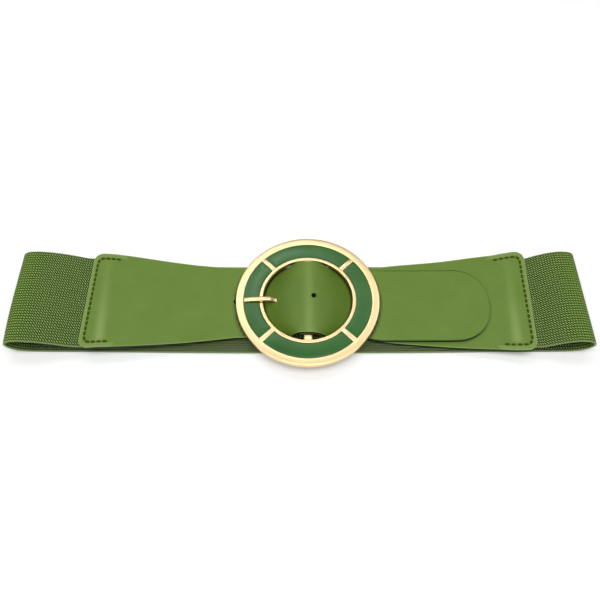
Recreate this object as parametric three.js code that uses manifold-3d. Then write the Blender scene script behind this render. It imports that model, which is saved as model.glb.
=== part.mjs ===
// Wide elastic waist belt with a round centre-bar buckle, lying fastened and folded flat.
// Millimetres. X runs along the belt to the right, Y away from the viewer, Z up.
// The back run lies on the table at z = 0; the buckle side faces up.
import * as THREE from 'three';
import Module from 'manifold-3d';

const wasm = await Module();
wasm.setup();

// General sizes
const GAP = 0.3;                  // clearance kept between neighbouring pieces
const BELT_LENGTH = 338.8;        // over the outer faces of the two end folds
const FOLD_HEIGHT = 15;           // height of the hollow end folds, outside

// Elastic band
const BAND_WIDTH = 60;
const BAND_THICKNESS = 1.4;
const BAND_OVERLAP = 12;          // how far each band end reaches under a leather panel
const BAND_BOW = 2.2;             // the back run drifts this far towards the viewer at mid length
const BACK_WAIST = 0.9;           // the stretched back run draws in this far on either side
const NEAR_LIFT = 0.25;           // the back run's near edge arches this far off the table between the folds
const NEAR_RISE = 40;             // length over which it leaves the table
const FAR_LIFT = 0.15;            // its far edge lies down at mid length and stands this far off at the folds
const FAR_RISE = 60;
const NEAR_TUCK = 1.3;            // the near corner of the left fold is drawn in
const BAND_EDGE = 0.4;            // rounding of the woven edges

// Leather straps
const STRAP_THICKNESS = 1.9;
const STRAP_WIDTH = 47.2;         // through the buckle
const PANEL_WIDTH = 66.2;         // where the leather meets the elastic
const PANEL_THICKNESS = 2.7;      // leather doubled over the end of the elastic
const LEFT_REACH = 130.8;         // from the buckle bar to the end of the left panel
const RIGHT_REACH = 131.9;
const PANEL_SKEW = 1.3;           // the right panel's far corner reaches out, its near corner falls back
const PANEL_CORNER = 5.5;         // corner radius of the panel ends
const STRAP_EDGE = 0.45;          // rounding of the cut edges
const TONGUE_REACH = 108.0;       // from the bar to the tip of the free end
const TONGUE_TIP = 22;            // length of the rounded tip
const TONGUE_SLIP = 2.2;          // the free end lies this far off centre, towards the viewer
const SLIP_SPAN = 14;             // length under the ring over which it drifts off centre
const HOLE_DIAMETER = 3.1;
const PUNCH_LENGTH = 40;
const HOLE_PITCH = 23.2;
const PRONG_HOLE_REACH = 19.6;    // from the bar to the hole in use
const REST_LIFT = 0.6;            // air under the buckle strap beside the ring
const TURN_BACK = 16;             // length of the hidden turned-back end, from the bar
const TURN_BACK_WIDTH = 26;
const TURN_BACK_TAPER = 1.15;     // it reaches its narrow width before its end by this ratio
const TURN_BACK_DROP = 2.4;       // how far the turned-back end sags below the bar

// Ring buckle
const RING_SHIFT = 5.4;           // the bar stands right of the belt's middle
const RING_THICKNESS = 2.9;
const OUTER_RIM = 4.6;
const INNER_RIM = 2.2;
const ENAMEL_WIDTH = 9.2;         // across the recess between the rims
const HOLE_CLEARANCE = 3.0;       // beside the strap in the ring's hole
const RECESS_DEPTH = 2.0;
const SPOKE_WIDTH = 2.9;
const RIM_EDGE = 0.45;
const RING_CLEARANCE = 0.65;      // between the straps and the underside of the ring
const BAR_WIDTH = 5.2;
const BAR_HEIGHT = 2.4;
const ENAMEL_DROP = 0.8;         // enamel surface below the rims
const ENAMEL_CROWN = 0.12;
const SPOKE_SINK_SHARE = 0.25;          // share of the casting by which a spoke sinks into its floor

// Prong
const PRONG_WIDTH = 2.9;
const PRONG_HEIGHT = 1.9;
const PRONG_LOOP = 1.2;           // metal round the bar
const PRONG_CLEARANCE = 0.35;
const PRONG_SWING = 1.5;          // its tip lies this far off centre, towards the viewer
const PRONG_SQUARENESS = 0.6;     // 1 for an oval section, towards 0 for a square one

// Places worked out from the sizes
const HALF_LENGTH = BELT_LENGTH / 2;
const BAND_HALF = BAND_WIDTH / 2;
const STRAP_HALF = STRAP_WIDTH / 2;
const PANEL_HALF = PANEL_WIDTH / 2;
const BAR_X = RING_SHIFT;
const FLOOR_TOP = BAND_THICKNESS + GAP;              // lowest level of anything on the back run
const BUCKLE_REST = FLOOR_TOP + REST_LIFT;           // underside of the buckle strap beside the ring
const TONGUE_REST = BUCKLE_REST + STRAP_THICKNESS + GAP;
const RING_BOTTOM = TONGUE_REST + STRAP_THICKNESS + RING_CLEARANCE;
const RING_TOP = RING_BOTTOM + RING_THICKNESS;
const BAR_BOTTOM = RING_BOTTOM;
const BAR_TOP = BAR_BOTTOM + BAR_HEIGHT;
const BUCKLE_CREST = BAR_TOP + GAP;                  // underside of the buckle strap on the bar
const TONGUE_CREST = BUCKLE_CREST + STRAP_THICKNESS + GAP;
const HOLE_RADIUS = STRAP_HALF + HOLE_CLEARANCE;
const CHANNEL_INNER = HOLE_RADIUS + INNER_RIM;
const CHANNEL_OUTER = CHANNEL_INNER + ENAMEL_WIDTH;
const RING_RADIUS = CHANNEL_OUTER + OUTER_RIM;

// Fineness of the faceted shapes
const STRAP_COLUMNS = 8;
const BAND_COLUMNS = 4;
const RING_FACETS = 72;
const PUNCH_FACETS = 18;
const EDGE_SHARE = 0.4;              // a rounded edge takes at most this share of a half width
const EDGE_DROP = 0.25;              // and starts this share of the thickness off the face

// Small tools
const clamp = (v, lo, hi) => Math.min(hi, Math.max(lo, v));
const mix = (a, b, t) => a + (b - a) * t;

// Smooth reading of a two-column table by monotone cubic pieces
function readTable(rows, key, value, at) {
  const n = rows.length;
  if (at <= rows[0][key]) return rows[0][value];
  if (at >= rows[n - 1][key]) return rows[n - 1][value];
  let i = 0;
  while (at > rows[i + 1][key]) i += 1;
  const slope = (k) => (rows[k + 1][value] - rows[k][value]) / (rows[k + 1][key] - rows[k][key]);
  const tangent = (k) => {
    if (k === 0 || k === n - 1) return 0;
    const a = slope(k - 1);
    const b = slope(k);
    return a * b <= 0 ? 0 : (2 * a * b) / (a + b);
  };
  const width = rows[i + 1][key] - rows[i][key];
  const t = (at - rows[i][key]) / width;
  const h00 = (1 + 2 * t) * (1 - t) * (1 - t);
  const h10 = t * (1 - t) * (1 - t);
  const h01 = t * t * (3 - 2 * t);
  const h11 = t * t * (t - 1);
  return h00 * rows[i][value] + h10 * width * tangent(i)
    + h01 * rows[i + 1][value] + h11 * width * tangent(i + 1);
}

// Leather over the bar: reach as a share of the free chord of the ring's hole, height as a share of the crest
const ARCH = [
  { reach: 0.00, height: 1.000 },
  { reach: 0.20, height: 0.960 },
  { reach: 0.40, height: 0.840 },
  { reach: 0.60, height: 0.640 },
  { reach: 0.80, height: 0.360 },
  { reach: 0.92, height: 0.160 },
  { reach: 1.02, height: 0.045 },
  { reach: 1.18, height: 0.000 },
];

// Underside of the left panel: along from the bar as a share of the panel's reach,
// lift above the back run as a share of the fold's height
const LEFT_RUN = [
  { along: 0.200, lift: 0.155 },
  { along: 0.380, lift: 0.158 },
  { along: 0.490, lift: 0.170 },
  { along: 0.670, lift: 0.258 },
  { along: 0.850, lift: 0.350 },
  { along: 0.880, lift: 0.368 },
  { along: 0.905, lift: 0.392 },
  { along: 1.000, lift: 0.402 },
];

// The same for the right panel
const RIGHT_RUN = [
  { along: 0.380, lift: 0.000 },
  { along: 0.570, lift: 0.004 },
  { along: 0.690, lift: 0.036 },
  { along: 0.750, lift: 0.072 },
  { along: 0.830, lift: 0.122 },
  { along: 0.880, lift: 0.165 },
  { along: 0.915, lift: 0.232 },
  { along: 1.000, lift: 0.340 },
];

// Plan outline: along from the bar as a share of the panel's reach,
// spread from strap width (0) to panel width (1)
const LEFT_FAR_SPREAD = [
  { along: 0.30, spread: 0.000 },
  { along: 0.38, spread: 0.025 },
  { along: 0.49, spread: 0.130 },
  { along: 0.67, spread: 0.400 },
  { along: 0.85, spread: 0.690 },
  { along: 0.92, spread: 0.780 },
  { along: 1.00, spread: 0.820 },
];
const LEFT_NEAR_SPREAD = [
  { along: 0.30, spread: 0.000 },
  { along: 0.38, spread: 0.110 },
  { along: 0.49, spread: 0.290 },
  { along: 0.67, spread: 0.550 },
  { along: 0.85, spread: 0.765 },
  { along: 0.92, spread: 0.830 },
  { along: 1.00, spread: 0.905 },
];
const RIGHT_FAR_SPREAD = [
  { along: 0.24, spread: 0.000 },
  { along: 0.30, spread: 0.080 },
  { along: 0.41, spread: 0.265 },
  { along: 0.57, spread: 0.475 },
  { along: 0.75, spread: 0.735 },
  { along: 0.86, spread: 0.865 },
  { along: 0.93, spread: 0.960 },
  { along: 1.00, spread: 1.010 },
];
const RIGHT_NEAR_SPREAD = [
  { along: 0.24, spread: 0.000 },
  { along: 0.30, spread: 0.160 },
  { along: 0.41, spread: 0.345 },
  { along: 0.57, spread: 0.525 },
  { along: 0.75, spread: 0.730 },
  { along: 0.86, spread: 0.850 },
  { along: 0.93, spread: 0.950 },
  { along: 1.00, spread: 1.000 },
];

// Rise of the elastic from the panel's edge to the crest of the fold, shares of each
const RISE = [
  { along: 0.000, rise: 0.000 },
  { along: 0.100, rise: 0.020 },
  { along: 0.215, rise: 0.120 },
  { along: 0.330, rise: 0.310 },
  { along: 0.510, rise: 0.590 },
  { along: 0.755, rise: 0.880 },
  { along: 1.000, rise: 1.000 },
];

// Middle line of the band round an end fold, from the crest down to the table:
// inward from the fold's face and upward, both as shares of the fold's height
const FOLD_END = [
  { inward: 0.62, upward: 1.000 },
  { inward: 0.30, upward: 0.960 },
  { inward: 0.09, upward: 0.815 },
  { inward: 0.00, upward: 0.600 },
  { inward: 0.06, upward: 0.380 },
  { inward: 0.25, upward: 0.185 },
  { inward: 0.55, upward: 0.064 },
  { inward: 1.00, upward: 0.010 },
  { inward: 1.60, upward: 0.000 },
];

// A closed ribbon: every station gives its middle in Y, half width and, for each place across,
// the point on the inner face and the point on the outer face as [x, z]
function ribbon(stations, columns, edge) {
  const positions = [];
  const index = [];
  const ring = 2 * (columns + 1) + 4;
  for (const s of stations) {
    const inset = Math.min(edge, s.half * EDGE_SHARE);
    const inner = [];
    const outer = [];
    for (let j = 0; j <= columns; j += 1) {
      const v = -1 + (2 * j) / columns;
      const y = s.middle + v * (s.half - inset);
      const [a, b] = s.faces(v);
      inner.push([a[0], y, a[1]]);
      outer.push([b[0], y, b[1]]);
    }
    const side = (v, share) => {
      const [a, b] = s.faces(v);
      return [mix(a[0], b[0], share), s.middle + v * s.half, mix(a[1], b[1], share)];
    };
    const points = [
      side(-1, EDGE_DROP), ...inner, side(1, EDGE_DROP),
      side(1, 1 - EDGE_DROP), ...outer.reverse(), side(-1, 1 - EDGE_DROP),
    ];
    for (const p of points) positions.push(...p);
  }
  const n = stations.length;
  for (let i = 0; i < n - 1; i += 1) {
    for (let k = 0; k < ring; k += 1) {
      const a = i * ring + k;
      const b = i * ring + ((k + 1) % ring);
      index.push(a, b, b + ring, a, b + ring, a + ring);
    }
  }
  // end caps as strips between the inner and the outer face
  const cap = (base, flip) => {
    for (let k = 0; k < ring / 2 - 1; k += 1) {
      const a = base + k;
      const b = base + k + 1;
      const c = base + ring - 2 - k;
      const d = base + ring - 1 - k;
      const quad = flip ? [a, b, c, a, c, d] : [a, c, b, a, d, c];
      index.push(...quad);
    }
  };
  cap(0, false);
  cap((n - 1) * ring, true);
  const geometry = new THREE.BufferGeometry();
  geometry.setAttribute('position', new THREE.Float32BufferAttribute(positions, 3));
  geometry.setIndex(index);
  return outward(geometry);
}

// Signed volume decides the winding, so that every face points out
function outward(geometry) {
  const p = geometry.attributes.position;
  const idx = geometry.index.array;
  const a = new THREE.Vector3();
  const b = new THREE.Vector3();
  const c = new THREE.Vector3();
  let volume = 0;
  for (let i = 0; i < idx.length; i += 3) {
    a.fromBufferAttribute(p, idx[i]);
    b.fromBufferAttribute(p, idx[i + 1]);
    c.fromBufferAttribute(p, idx[i + 2]);
    volume += a.dot(b.cross(c));
  }
  if (volume < 0) {
    for (let i = 0; i < idx.length; i += 3) {
      const t = idx[i + 1];
      idx[i + 1] = idx[i + 2];
      idx[i + 2] = t;
    }
  }
  return geometry;
}

// Conversions for joining and cutting
function toSolid(geometry) {
  const p = geometry.attributes.position;
  const seen = new Map();
  const verts = [];
  const remap = [];
  for (let i = 0; i < p.count; i += 1) {
    const key = [p.getX(i), p.getY(i), p.getZ(i)].map((v) => Math.round(v * 1e4)).join(',');
    if (!seen.has(key)) {
      seen.set(key, verts.length / 3);
      verts.push(p.getX(i), p.getY(i), p.getZ(i));
    }
    remap.push(seen.get(key));
  }
  const source = geometry.index ? Array.from(geometry.index.array) : remap.map((_, i) => i);
  const tris = [];
  for (let i = 0; i < source.length; i += 3) {
    const [a, b, c] = [remap[source[i]], remap[source[i + 1]], remap[source[i + 2]]];
    if (a !== b && b !== c && a !== c) tris.push(a, b, c);
  }
  const mesh = new wasm.Mesh({
    numProp: 3,
    vertProperties: new Float32Array(verts),
    triVerts: new Uint32Array(tris),
  });
  return new wasm.Manifold(mesh);
}
function toGeometry(solid) {
  const mesh = solid.getMesh();
  const geometry = new THREE.BufferGeometry();
  geometry.setAttribute('position', new THREE.Float32BufferAttribute(Array.from(mesh.vertProperties), 3));
  geometry.setIndex(Array.from(mesh.triVerts));
  return geometry;
}
function box(sx, sy, sz, x, y, z) {
  return new THREE.BoxGeometry(sx, sy, sz).translate(x, y, z);
}

// Level part of the crest on either side of the bar
const CREST_LEFT = BAR_WIDTH / 2 + STRAP_THICKNESS / 3;
const CREST_RIGHT = BAR_WIDTH / 4;
// Free length of the strap inside the ring's hole, at a place across the strap
const HOLE_AIR = 0.7;                // between the strap and the wall of the ring's hole
const SLOPE_SHARE = 0.65;            // share of the thickness that the sloping strap takes along X
const SHORTEST_CHORD = 0.4;          // share of the free radius
function freeChord(y) {
  const r = HOLE_RADIUS - HOLE_AIR - SLOPE_SHARE * STRAP_THICKNESS;
  return Math.sqrt(Math.max(r * r - y * y, (SHORTEST_CHORD * r) ** 2));
}
function arch(x, y) {
  const flat = x < BAR_X ? CREST_LEFT : CREST_RIGHT;
  const reach = Math.max(Math.abs(x - BAR_X) - flat, 0) / (freeChord(y) - flat);
  return readTable(ARCH, 'reach', 'height', reach);
}
function alongPanel(x) {
  return x < BAR_X ? (BAR_X - x) / LEFT_REACH : (x - BAR_X) / RIGHT_REACH;
}
function panelLift(rows, x) {
  return readTable(rows, 'along', 'lift', alongPanel(x)) * FOLD_HEIGHT;
}
function panelHalf(rows, x) {
  return mix(STRAP_HALF, PANEL_HALF, readTable(rows, 'along', 'spread', alongPanel(x)));
}
// The leather thickens from strap to panel between these shares of the reach
const DOUBLING = { from: 0.62, to: 0.86 };
function smoothStep(t) {
  const u = clamp(t, 0, 1);
  return u * u * (3 - 2 * u);
}
function leatherThickness(x) {
  const t = smoothStep((alongPanel(x) - DOUBLING.from) / (DOUBLING.to - DOUBLING.from));
  return mix(STRAP_THICKNESS, PANEL_THICKNESS, t);
}

// Underside heights of the two leather straps
function buckleUnder(x, y) {
  const rest = BUCKLE_REST + panelLift(RIGHT_RUN, x);
  if (x <= BAR_X) return BUCKLE_CREST;
  return mix(rest, BUCKLE_CREST, arch(x, y));
}
function tongueUnder(x, y) {
  if (x >= BAR_X) return heightOver(buckleUnder, x, y, leatherThickness(x) + GAP);
  const rest = FLOOR_TOP + panelLift(LEFT_RUN, x);
  return mix(rest, TONGUE_CREST, arch(x, y));
}

// Inner and outer point of a strap whose underside is a height over x and y
const SLOPE_STEP = 0.6;
function facesOver(under, x, y, thickness) {
  const slope = (under(x + SLOPE_STEP, y) - under(x - SLOPE_STEP, y)) / (2 * SLOPE_STEP);
  const length = Math.hypot(1, slope);
  const z = under(x, y);
  return [[x, z], [x - (slope / length) * thickness, z + thickness / length]];
}
// Height at x of the surface that runs a set distance over an underside: the highest of
// the offset curve's pieces that pass over x
const OFFSET_WINDOW = 1.1;           // sampled this many distances to either side
const OFFSET_SAMPLES = 14;
function heightOver(under, x, y, distance) {
  const tops = spread(-OFFSET_WINDOW, OFFSET_WINDOW, OFFSET_SAMPLES).map((share) => facesOver(under, x + share * distance, y, distance)[1]);
  let highest = under(x, y) + distance;
  for (let i = 0; i < tops.length - 1; i += 1) {
    const [a, b] = [tops[i], tops[i + 1]];
    if ((a[0] - x) * (b[0] - x) <= 0 && a[0] !== b[0]) {
      highest = Math.max(highest, mix(a[1], b[1], (x - a[0]) / (b[0] - a[0])));
    }
  }
  return highest;
}

// Half width near a rounded end: corner radius at a distance from the end
function roundedEnd(half, distance, corner) {
  if (distance >= corner) return half;
  const d = Math.max(distance, 0);
  return half - corner + Math.sqrt(Math.max(corner * corner - (corner - d) ** 2, 0));
}

function spread(from, to, count) {
  return Array.from({ length: count + 1 }, (_, i) => mix(from, to, i / count));
}

// Tongue strap: left panel, over the bar, rounded free end on the right panel
const TONGUE_RIGHT = BAR_X + TONGUE_REACH;
const PANEL_LEFT = BAR_X - LEFT_REACH;
const PANEL_RIGHT = BAR_X + RIGHT_REACH;
const CORNER_STEPS = [0, 0.05, 0.2, 0.45, 0.75, 1];
const TIP_STEPS = [1, 0.8, 0.6, 0.42, 0.26, 0.13, 0.04, 0];
const ARCH_SPAN = HOLE_RADIUS * 1.15;      // the arch levels out a little past the ring's hole
const TIP_SHAPE = { along: 2.3, across: 2.1, blunt: 0.08 };
// Shares of a panel's reach between which the stations stand close together
const LEFT_ZONES = { outer: 0.93, inner: 0.85, strap: 0.80 };
const RIGHT_ZONES = { outer: 0.935, inner: 0.86, strap: 0.82 };

function tongueMiddle(x) {
  return -TONGUE_SLIP * smoothStep((x - BAR_X - ARCH_SPAN) / SLIP_SPAN);
}
function tongueTipHalf(x) {
  const t = clamp((x - (TONGUE_RIGHT - TONGUE_TIP)) / TONGUE_TIP, 0, 1);
  const share = (1 - t ** TIP_SHAPE.along) ** (1 / TIP_SHAPE.across);
  return STRAP_HALF * Math.max(share, TIP_SHAPE.blunt);
}
function tongueStrap() {
  const xs = [
    ...CORNER_STEPS.map((s) => PANEL_LEFT + s * PANEL_CORNER),
    ...spread(BAR_X - LEFT_ZONES.outer * LEFT_REACH, BAR_X - LEFT_ZONES.inner * LEFT_REACH, 4),
    ...spread(BAR_X - LEFT_ZONES.strap * LEFT_REACH, BAR_X - ARCH_SPAN, 12).slice(0, -1),
    ...spread(BAR_X - ARCH_SPAN, BAR_X + ARCH_SPAN, 30),
    ...spread(BAR_X + ARCH_SPAN, BAR_X + ARCH_SPAN + SLIP_SPAN, 4).slice(1),
    ...spread(BAR_X + ARCH_SPAN + SLIP_SPAN, TONGUE_RIGHT - TONGUE_TIP, 7).slice(1, -1),
    ...TIP_STEPS.map((s) => TONGUE_RIGHT - s * TONGUE_TIP),
  ];
  const stations = xs.map((x) => {
    const leftSide = x < BAR_X;
    const far = leftSide ? panelHalf(LEFT_FAR_SPREAD, x) : tongueTipHalf(x);
    const near = leftSide ? panelHalf(LEFT_NEAR_SPREAD, x) : far;
    const half = roundedEnd((far + near) / 2, x - PANEL_LEFT, PANEL_CORNER);
    const middle = leftSide ? (far - near) / 2 : tongueMiddle(x);
    const thickness = leftSide ? leatherThickness(x) : STRAP_THICKNESS;
    return { middle, half, faces: (v) => facesOver(tongueUnder, x, middle + v * half, thickness) };
  });
  let solid = toSolid(ribbon(stations, STRAP_COLUMNS, STRAP_EDGE));
  const punchRadius = HOLE_DIAMETER / 2;
  const punch = new THREE.CylinderGeometry(punchRadius, punchRadius, PUNCH_LENGTH, PUNCH_FACETS)
    .rotateX(Math.PI / 2);
  for (const step of [-1, 1]) {
    const x = BAR_X - PRONG_HOLE_REACH + step * HOLE_PITCH;
    const cut = toSolid(punch.clone().translate(x, tongueMiddle(x), 0));
    solid = solid.subtract(cut);
  }
  return toGeometry(solid.subtract(toSolid(prongShaft(PRONG_CLEARANCE))));
}

// Buckle strap: right panel, under the ring, round the bar, short hidden turned-back end
function buckleStrap() {
  const xs = [
    ...CORNER_STEPS.map((s) => PANEL_RIGHT - s * PANEL_CORNER),
    ...spread(BAR_X + RIGHT_ZONES.outer * RIGHT_REACH, BAR_X + RIGHT_ZONES.inner * RIGHT_REACH, 4),
    ...spread(BAR_X + RIGHT_ZONES.strap * RIGHT_REACH, BAR_X + ARCH_SPAN, 12).slice(0, -1),
    ...spread(BAR_X + ARCH_SPAN, BAR_X, 15),
  ];
  const stations = xs.map((x) => {
    const far = panelHalf(RIGHT_FAR_SPREAD, x);
    const near = panelHalf(RIGHT_NEAR_SPREAD, x);
    const half = roundedEnd((far + near) / 2, PANEL_RIGHT - x, PANEL_CORNER);
    const middle = (far - near) / 2;
    const skew = PANEL_SKEW * smoothStep((alongPanel(x) - DOUBLING.from) / (1 - DOUBLING.from));
    const faces = (v) => facesOver(buckleUnder, x + skew * v, middle + v * half, leatherThickness(x));
    return { middle, half, faces };
  });
  const turn = BAR_HEIGHT / 2 + GAP;
  const turnX = BAR_X - (BAR_WIDTH - BAR_HEIGHT) / 2;
  const turnZ = (BAR_TOP + BAR_BOTTOM) / 2;
  for (const angle of spread(Math.PI / 2, 1.5 * Math.PI, 8)) {
    const at = (r) => [turnX + r * Math.cos(angle), turnZ + r * Math.sin(angle)];
    const pair = [at(turn), at(turn + STRAP_THICKNESS)];
    stations.push({ middle: 0, half: STRAP_HALF, faces: () => pair });
  }
  for (const share of spread(0, 1, 6).slice(1)) {
    const x = mix(turnX, BAR_X + TURN_BACK, share);
    const z = turnZ - turn - TURN_BACK_DROP * share * share;
    const half = mix(STRAP_HALF, TURN_BACK_WIDTH / 2, Math.min(1, share * TURN_BACK_TAPER));
    stations.push({ middle: 0, half, faces: () => [[x, z], [x, z - STRAP_THICKNESS]] });
  }
  const slotLength = BAR_WIDTH / 2 + GAP + PRONG_LOOP + PRONG_CLEARANCE;
  const reach = 2 * slotLength + STRAP_THICKNESS;
  const slot = box(
    reach, PRONG_WIDTH + 4 * PRONG_CLEARANCE, 4 * RING_THICKNESS,
    BAR_X + slotLength - reach / 2, 0, (BAR_TOP + BAR_BOTTOM) / 2,
  );
  return toGeometry(toSolid(ribbon(stations, STRAP_COLUMNS, STRAP_EDGE)).subtract(toSolid(slot)));
}

// Elastic band: from under the left panel, round the left fold, along the table,
// round the right fold, to under the right panel
function bandPath() {
  const half = BAND_THICKNESS / 2;
  const crestZ = FOLD_HEIGHT - half;
  const face = HALF_LENGTH - half;
  const points = [];
  const endZ = (rows, base, x) => base + panelLift(rows, x) - GAP - half;
  const side = (sign, rows, base, panelX) => {
    const list = [];
    const tipX = panelX - sign * BAND_OVERLAP;
    const crestX = sign * (face - FOLD_END[0].inward * FOLD_HEIGHT);
    for (const x of spread(tipX, panelX, 4)) list.push([x, endZ(rows, base, x)]);
    const start = list[list.length - 1];
    for (const t of spread(0, 1, 12).slice(1, -1)) {
      list.push([mix(start[0], crestX, t), mix(start[1], crestZ, readTable(RISE, 'along', 'rise', t))]);
    }
    const ends = FOLD_END.map((r) => new THREE.Vector3(
      sign * (face - r.inward * FOLD_HEIGHT), mix(half, crestZ, r.upward), 0,
    ));
    const curve = new THREE.CatmullRomCurve3(ends, false, 'centripetal');
    for (const p of curve.getPoints(24)) list.push([p.x, p.y]);
    return list;
  };
  const left = side(-1, LEFT_RUN, FLOOR_TOP, PANEL_LEFT);
  const right = side(1, RIGHT_RUN, BUCKLE_REST, PANEL_RIGHT);
  const backFrom = left[left.length - 1][0];
  const backTo = right[right.length - 1][0];
  for (const x of spread(backFrom, backTo, 16).slice(1, -1)) {
    points.push([x, half]);
  }
  return [...left, ...points, ...right.reverse()];
}
function elasticBand() {
  const path = bandPath();
  const half = BAND_THICKNESS / 2;
  const foldLength = FOLD_END[FOLD_END.length - 1].inward * FOLD_HEIGHT;
  const foldStart = HALF_LENGTH - half - foldLength;
  const stations = path.map(([x, z], i) => {
    const a = path[Math.max(i - 1, 0)];
    const b = path[Math.min(i + 1, path.length - 1)];
    const length = Math.hypot(b[0] - a[0], b[1] - a[1]);
    const nx = -(b[1] - a[1]) / length;
    const nz = (b[0] - a[0]) / length;
    const low = clamp(1 - (z - half) / (FOLD_HEIGHT / 2), 0, 1);
    const middle = -BAND_BOW * low * (1 - (x / HALF_LENGTH) ** 2);
    const halfWidth = BAND_HALF - BACK_WAIST * low * (1 - (x / HALF_LENGTH) ** 4);
    const nearFold = clamp((-x - foldStart) / foldLength, 0, 1);
    const nearLift = NEAR_LIFT * smoothStep((foldStart - Math.abs(x)) / NEAR_RISE);
    const farLift = FAR_LIFT * smoothStep(Math.abs(x) / FAR_RISE);
    const faces = (v) => {
      const shift = x + NEAR_TUCK * nearFold * nearFold * Math.max(0, -v) ** 2;
      const level = z + low * mix(nearLift, farLift, (1 + v) / 2);
      return [[shift + nx * half, level + nz * half], [shift - nx * half, level - nz * half]];
    };
    return { middle, half: halfWidth, faces };
  });
  return ribbon(stations, BAND_COLUMNS, BAND_EDGE);
}

// Buckle frame: one casting of two rims, recess floor, four spokes and the bar
function buckleFrame() {
  const e = RIM_EDGE;
  const floor = RING_TOP - RECESS_DEPTH;
  const profile = [
    [HOLE_RADIUS, RING_BOTTOM + e], [HOLE_RADIUS + e, RING_BOTTOM],
    [RING_RADIUS - e, RING_BOTTOM], [RING_RADIUS, RING_BOTTOM + e],
    [RING_RADIUS, RING_TOP - e], [RING_RADIUS - e, RING_TOP],
    [CHANNEL_OUTER, RING_TOP], [CHANNEL_OUTER, floor],
    [CHANNEL_INNER, floor], [CHANNEL_INNER, RING_TOP],
    [HOLE_RADIUS + e, RING_TOP], [HOLE_RADIUS, RING_TOP - e],
    [HOLE_RADIUS, RING_BOTTOM + e],
  ].map(([r, z]) => new THREE.Vector2(r, z));
  const body = new THREE.LatheGeometry(profile, RING_FACETS).rotateX(Math.PI / 2);
  body.deleteAttribute('normal');
  body.deleteAttribute('uv');
  let solid = toSolid(lathed(body));
  const reach = (CHANNEL_INNER + CHANNEL_OUTER) / 2;
  for (const quarter of [0, 1, 2, 3]) {
    const top = RING_TOP - SPOKE_SINK_SHARE * RIM_EDGE;
    const height = top - floor + SPOKE_SINK_SHARE * RING_THICKNESS;
    const spoke = box(
      CHANNEL_OUTER - CHANNEL_INNER + INNER_RIM, SPOKE_WIDTH, height, reach, 0, top - height / 2,
    ).rotateZ(Math.PI / 4 + (quarter * Math.PI) / 2);
    solid = solid.add(toSolid(spoke));
  }
  const outline = stadium(BAR_WIDTH, BAR_HEIGHT);
  const bar = extrudeAcross(outline, 2 * HOLE_RADIUS + INNER_RIM, (BAR_TOP + BAR_BOTTOM) / 2, 0);
  solid = solid.add(toSolid(bar));
  return toGeometry(solid).translate(BAR_X, 0, 0);
}

// A lathe body drawn round Y and turned upright needs its winding checked
function lathed(geometry) {
  const indexed = geometry.index ? geometry : geometry.toNonIndexed();
  return outward(indexed);
}

// Stadium outline in X and Z about the origin
function stadium(width, height) {
  const r = height / 2;
  const half = Math.max(width / 2 - r, 0);
  const shape = new THREE.Shape();
  const steps = 8;
  const points = [];
  for (let i = 0; i <= steps; i += 1) {
    const a = -Math.PI / 2 + (Math.PI * i) / steps;
    points.push(new THREE.Vector2(half + r * Math.cos(a), r * Math.sin(a)));
  }
  for (let i = 0; i <= steps; i += 1) {
    const a = Math.PI / 2 + (Math.PI * i) / steps;
    points.push(new THREE.Vector2(-half + r * Math.cos(a), r * Math.sin(a)));
  }
  shape.setFromPoints(points);
  return shape;
}
function extrudeAcross(shape, width, z, x) {
  const solid = new THREE.ExtrudeGeometry(shape, { depth: width, bevelEnabled: false, curveSegments: 8 });
  return solid.translate(0, 0, -width / 2).rotateX(Math.PI / 2).translate(x, 0, z);
}

// Enamel inlay between two spokes, with a slightly raised surface
function enamel(quarter) {
  const along = 14;
  const across = 3;
  const inner = CHANNEL_INNER + GAP;
  const outer = CHANNEL_OUTER - GAP;
  const bottom = RING_TOP - RECESS_DEPTH + GAP;
  const top = RING_TOP - ENAMEL_DROP;
  const positions = [];
  const index = [];
  const row = across + 1;
  const layer = (along + 1) * row;
  for (const level of [0, 1]) {
    for (let i = 0; i <= along; i += 1) {
      for (let j = 0; j <= across; j += 1) {
        const r = mix(inner, outer, j / across);
        const trim = Math.asin((SPOKE_WIDTH / 2 + GAP) / r);
        const from = Math.PI / 4 + (quarter * Math.PI) / 2 + trim;
        const to = from + Math.PI / 2 - 2 * trim;
        const a = mix(from, to, i / along);
        const inside = i > 0 && i < along && j > 0 && j < across;
        const z = level === 0 ? bottom : top - (inside ? 0 : ENAMEL_CROWN);
        positions.push(BAR_X + r * Math.cos(a), r * Math.sin(a), z);
      }
    }
  }
  const at = (level, i, j) => level * layer + i * row + j;
  for (let i = 0; i < along; i += 1) {
    for (let j = 0; j < across; j += 1) {
      index.push(at(1, i, j), at(1, i, j + 1), at(1, i + 1, j + 1));
      index.push(at(1, i, j), at(1, i + 1, j + 1), at(1, i + 1, j));
      index.push(at(0, i, j), at(0, i + 1, j + 1), at(0, i, j + 1));
      index.push(at(0, i, j), at(0, i + 1, j), at(0, i + 1, j + 1));
    }
  }
  const wall = (a, b, c, d) => index.push(a, b, c, a, c, d);
  for (let i = 0; i < along; i += 1) {
    wall(at(0, i, 0), at(1, i, 0), at(1, i + 1, 0), at(0, i + 1, 0));
    wall(at(0, i + 1, across), at(1, i + 1, across), at(1, i, across), at(0, i, across));
  }
  for (let j = 0; j < across; j += 1) {
    wall(at(0, 0, j + 1), at(1, 0, j + 1), at(1, 0, j), at(0, 0, j));
    wall(at(0, along, j), at(1, along, j), at(1, along, j + 1), at(0, along, j + 1));
  }
  const geometry = new THREE.BufferGeometry();
  geometry.setAttribute('position', new THREE.Float32BufferAttribute(positions, 3));
  geometry.setIndex(index);
  return outward(geometry);
}

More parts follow.
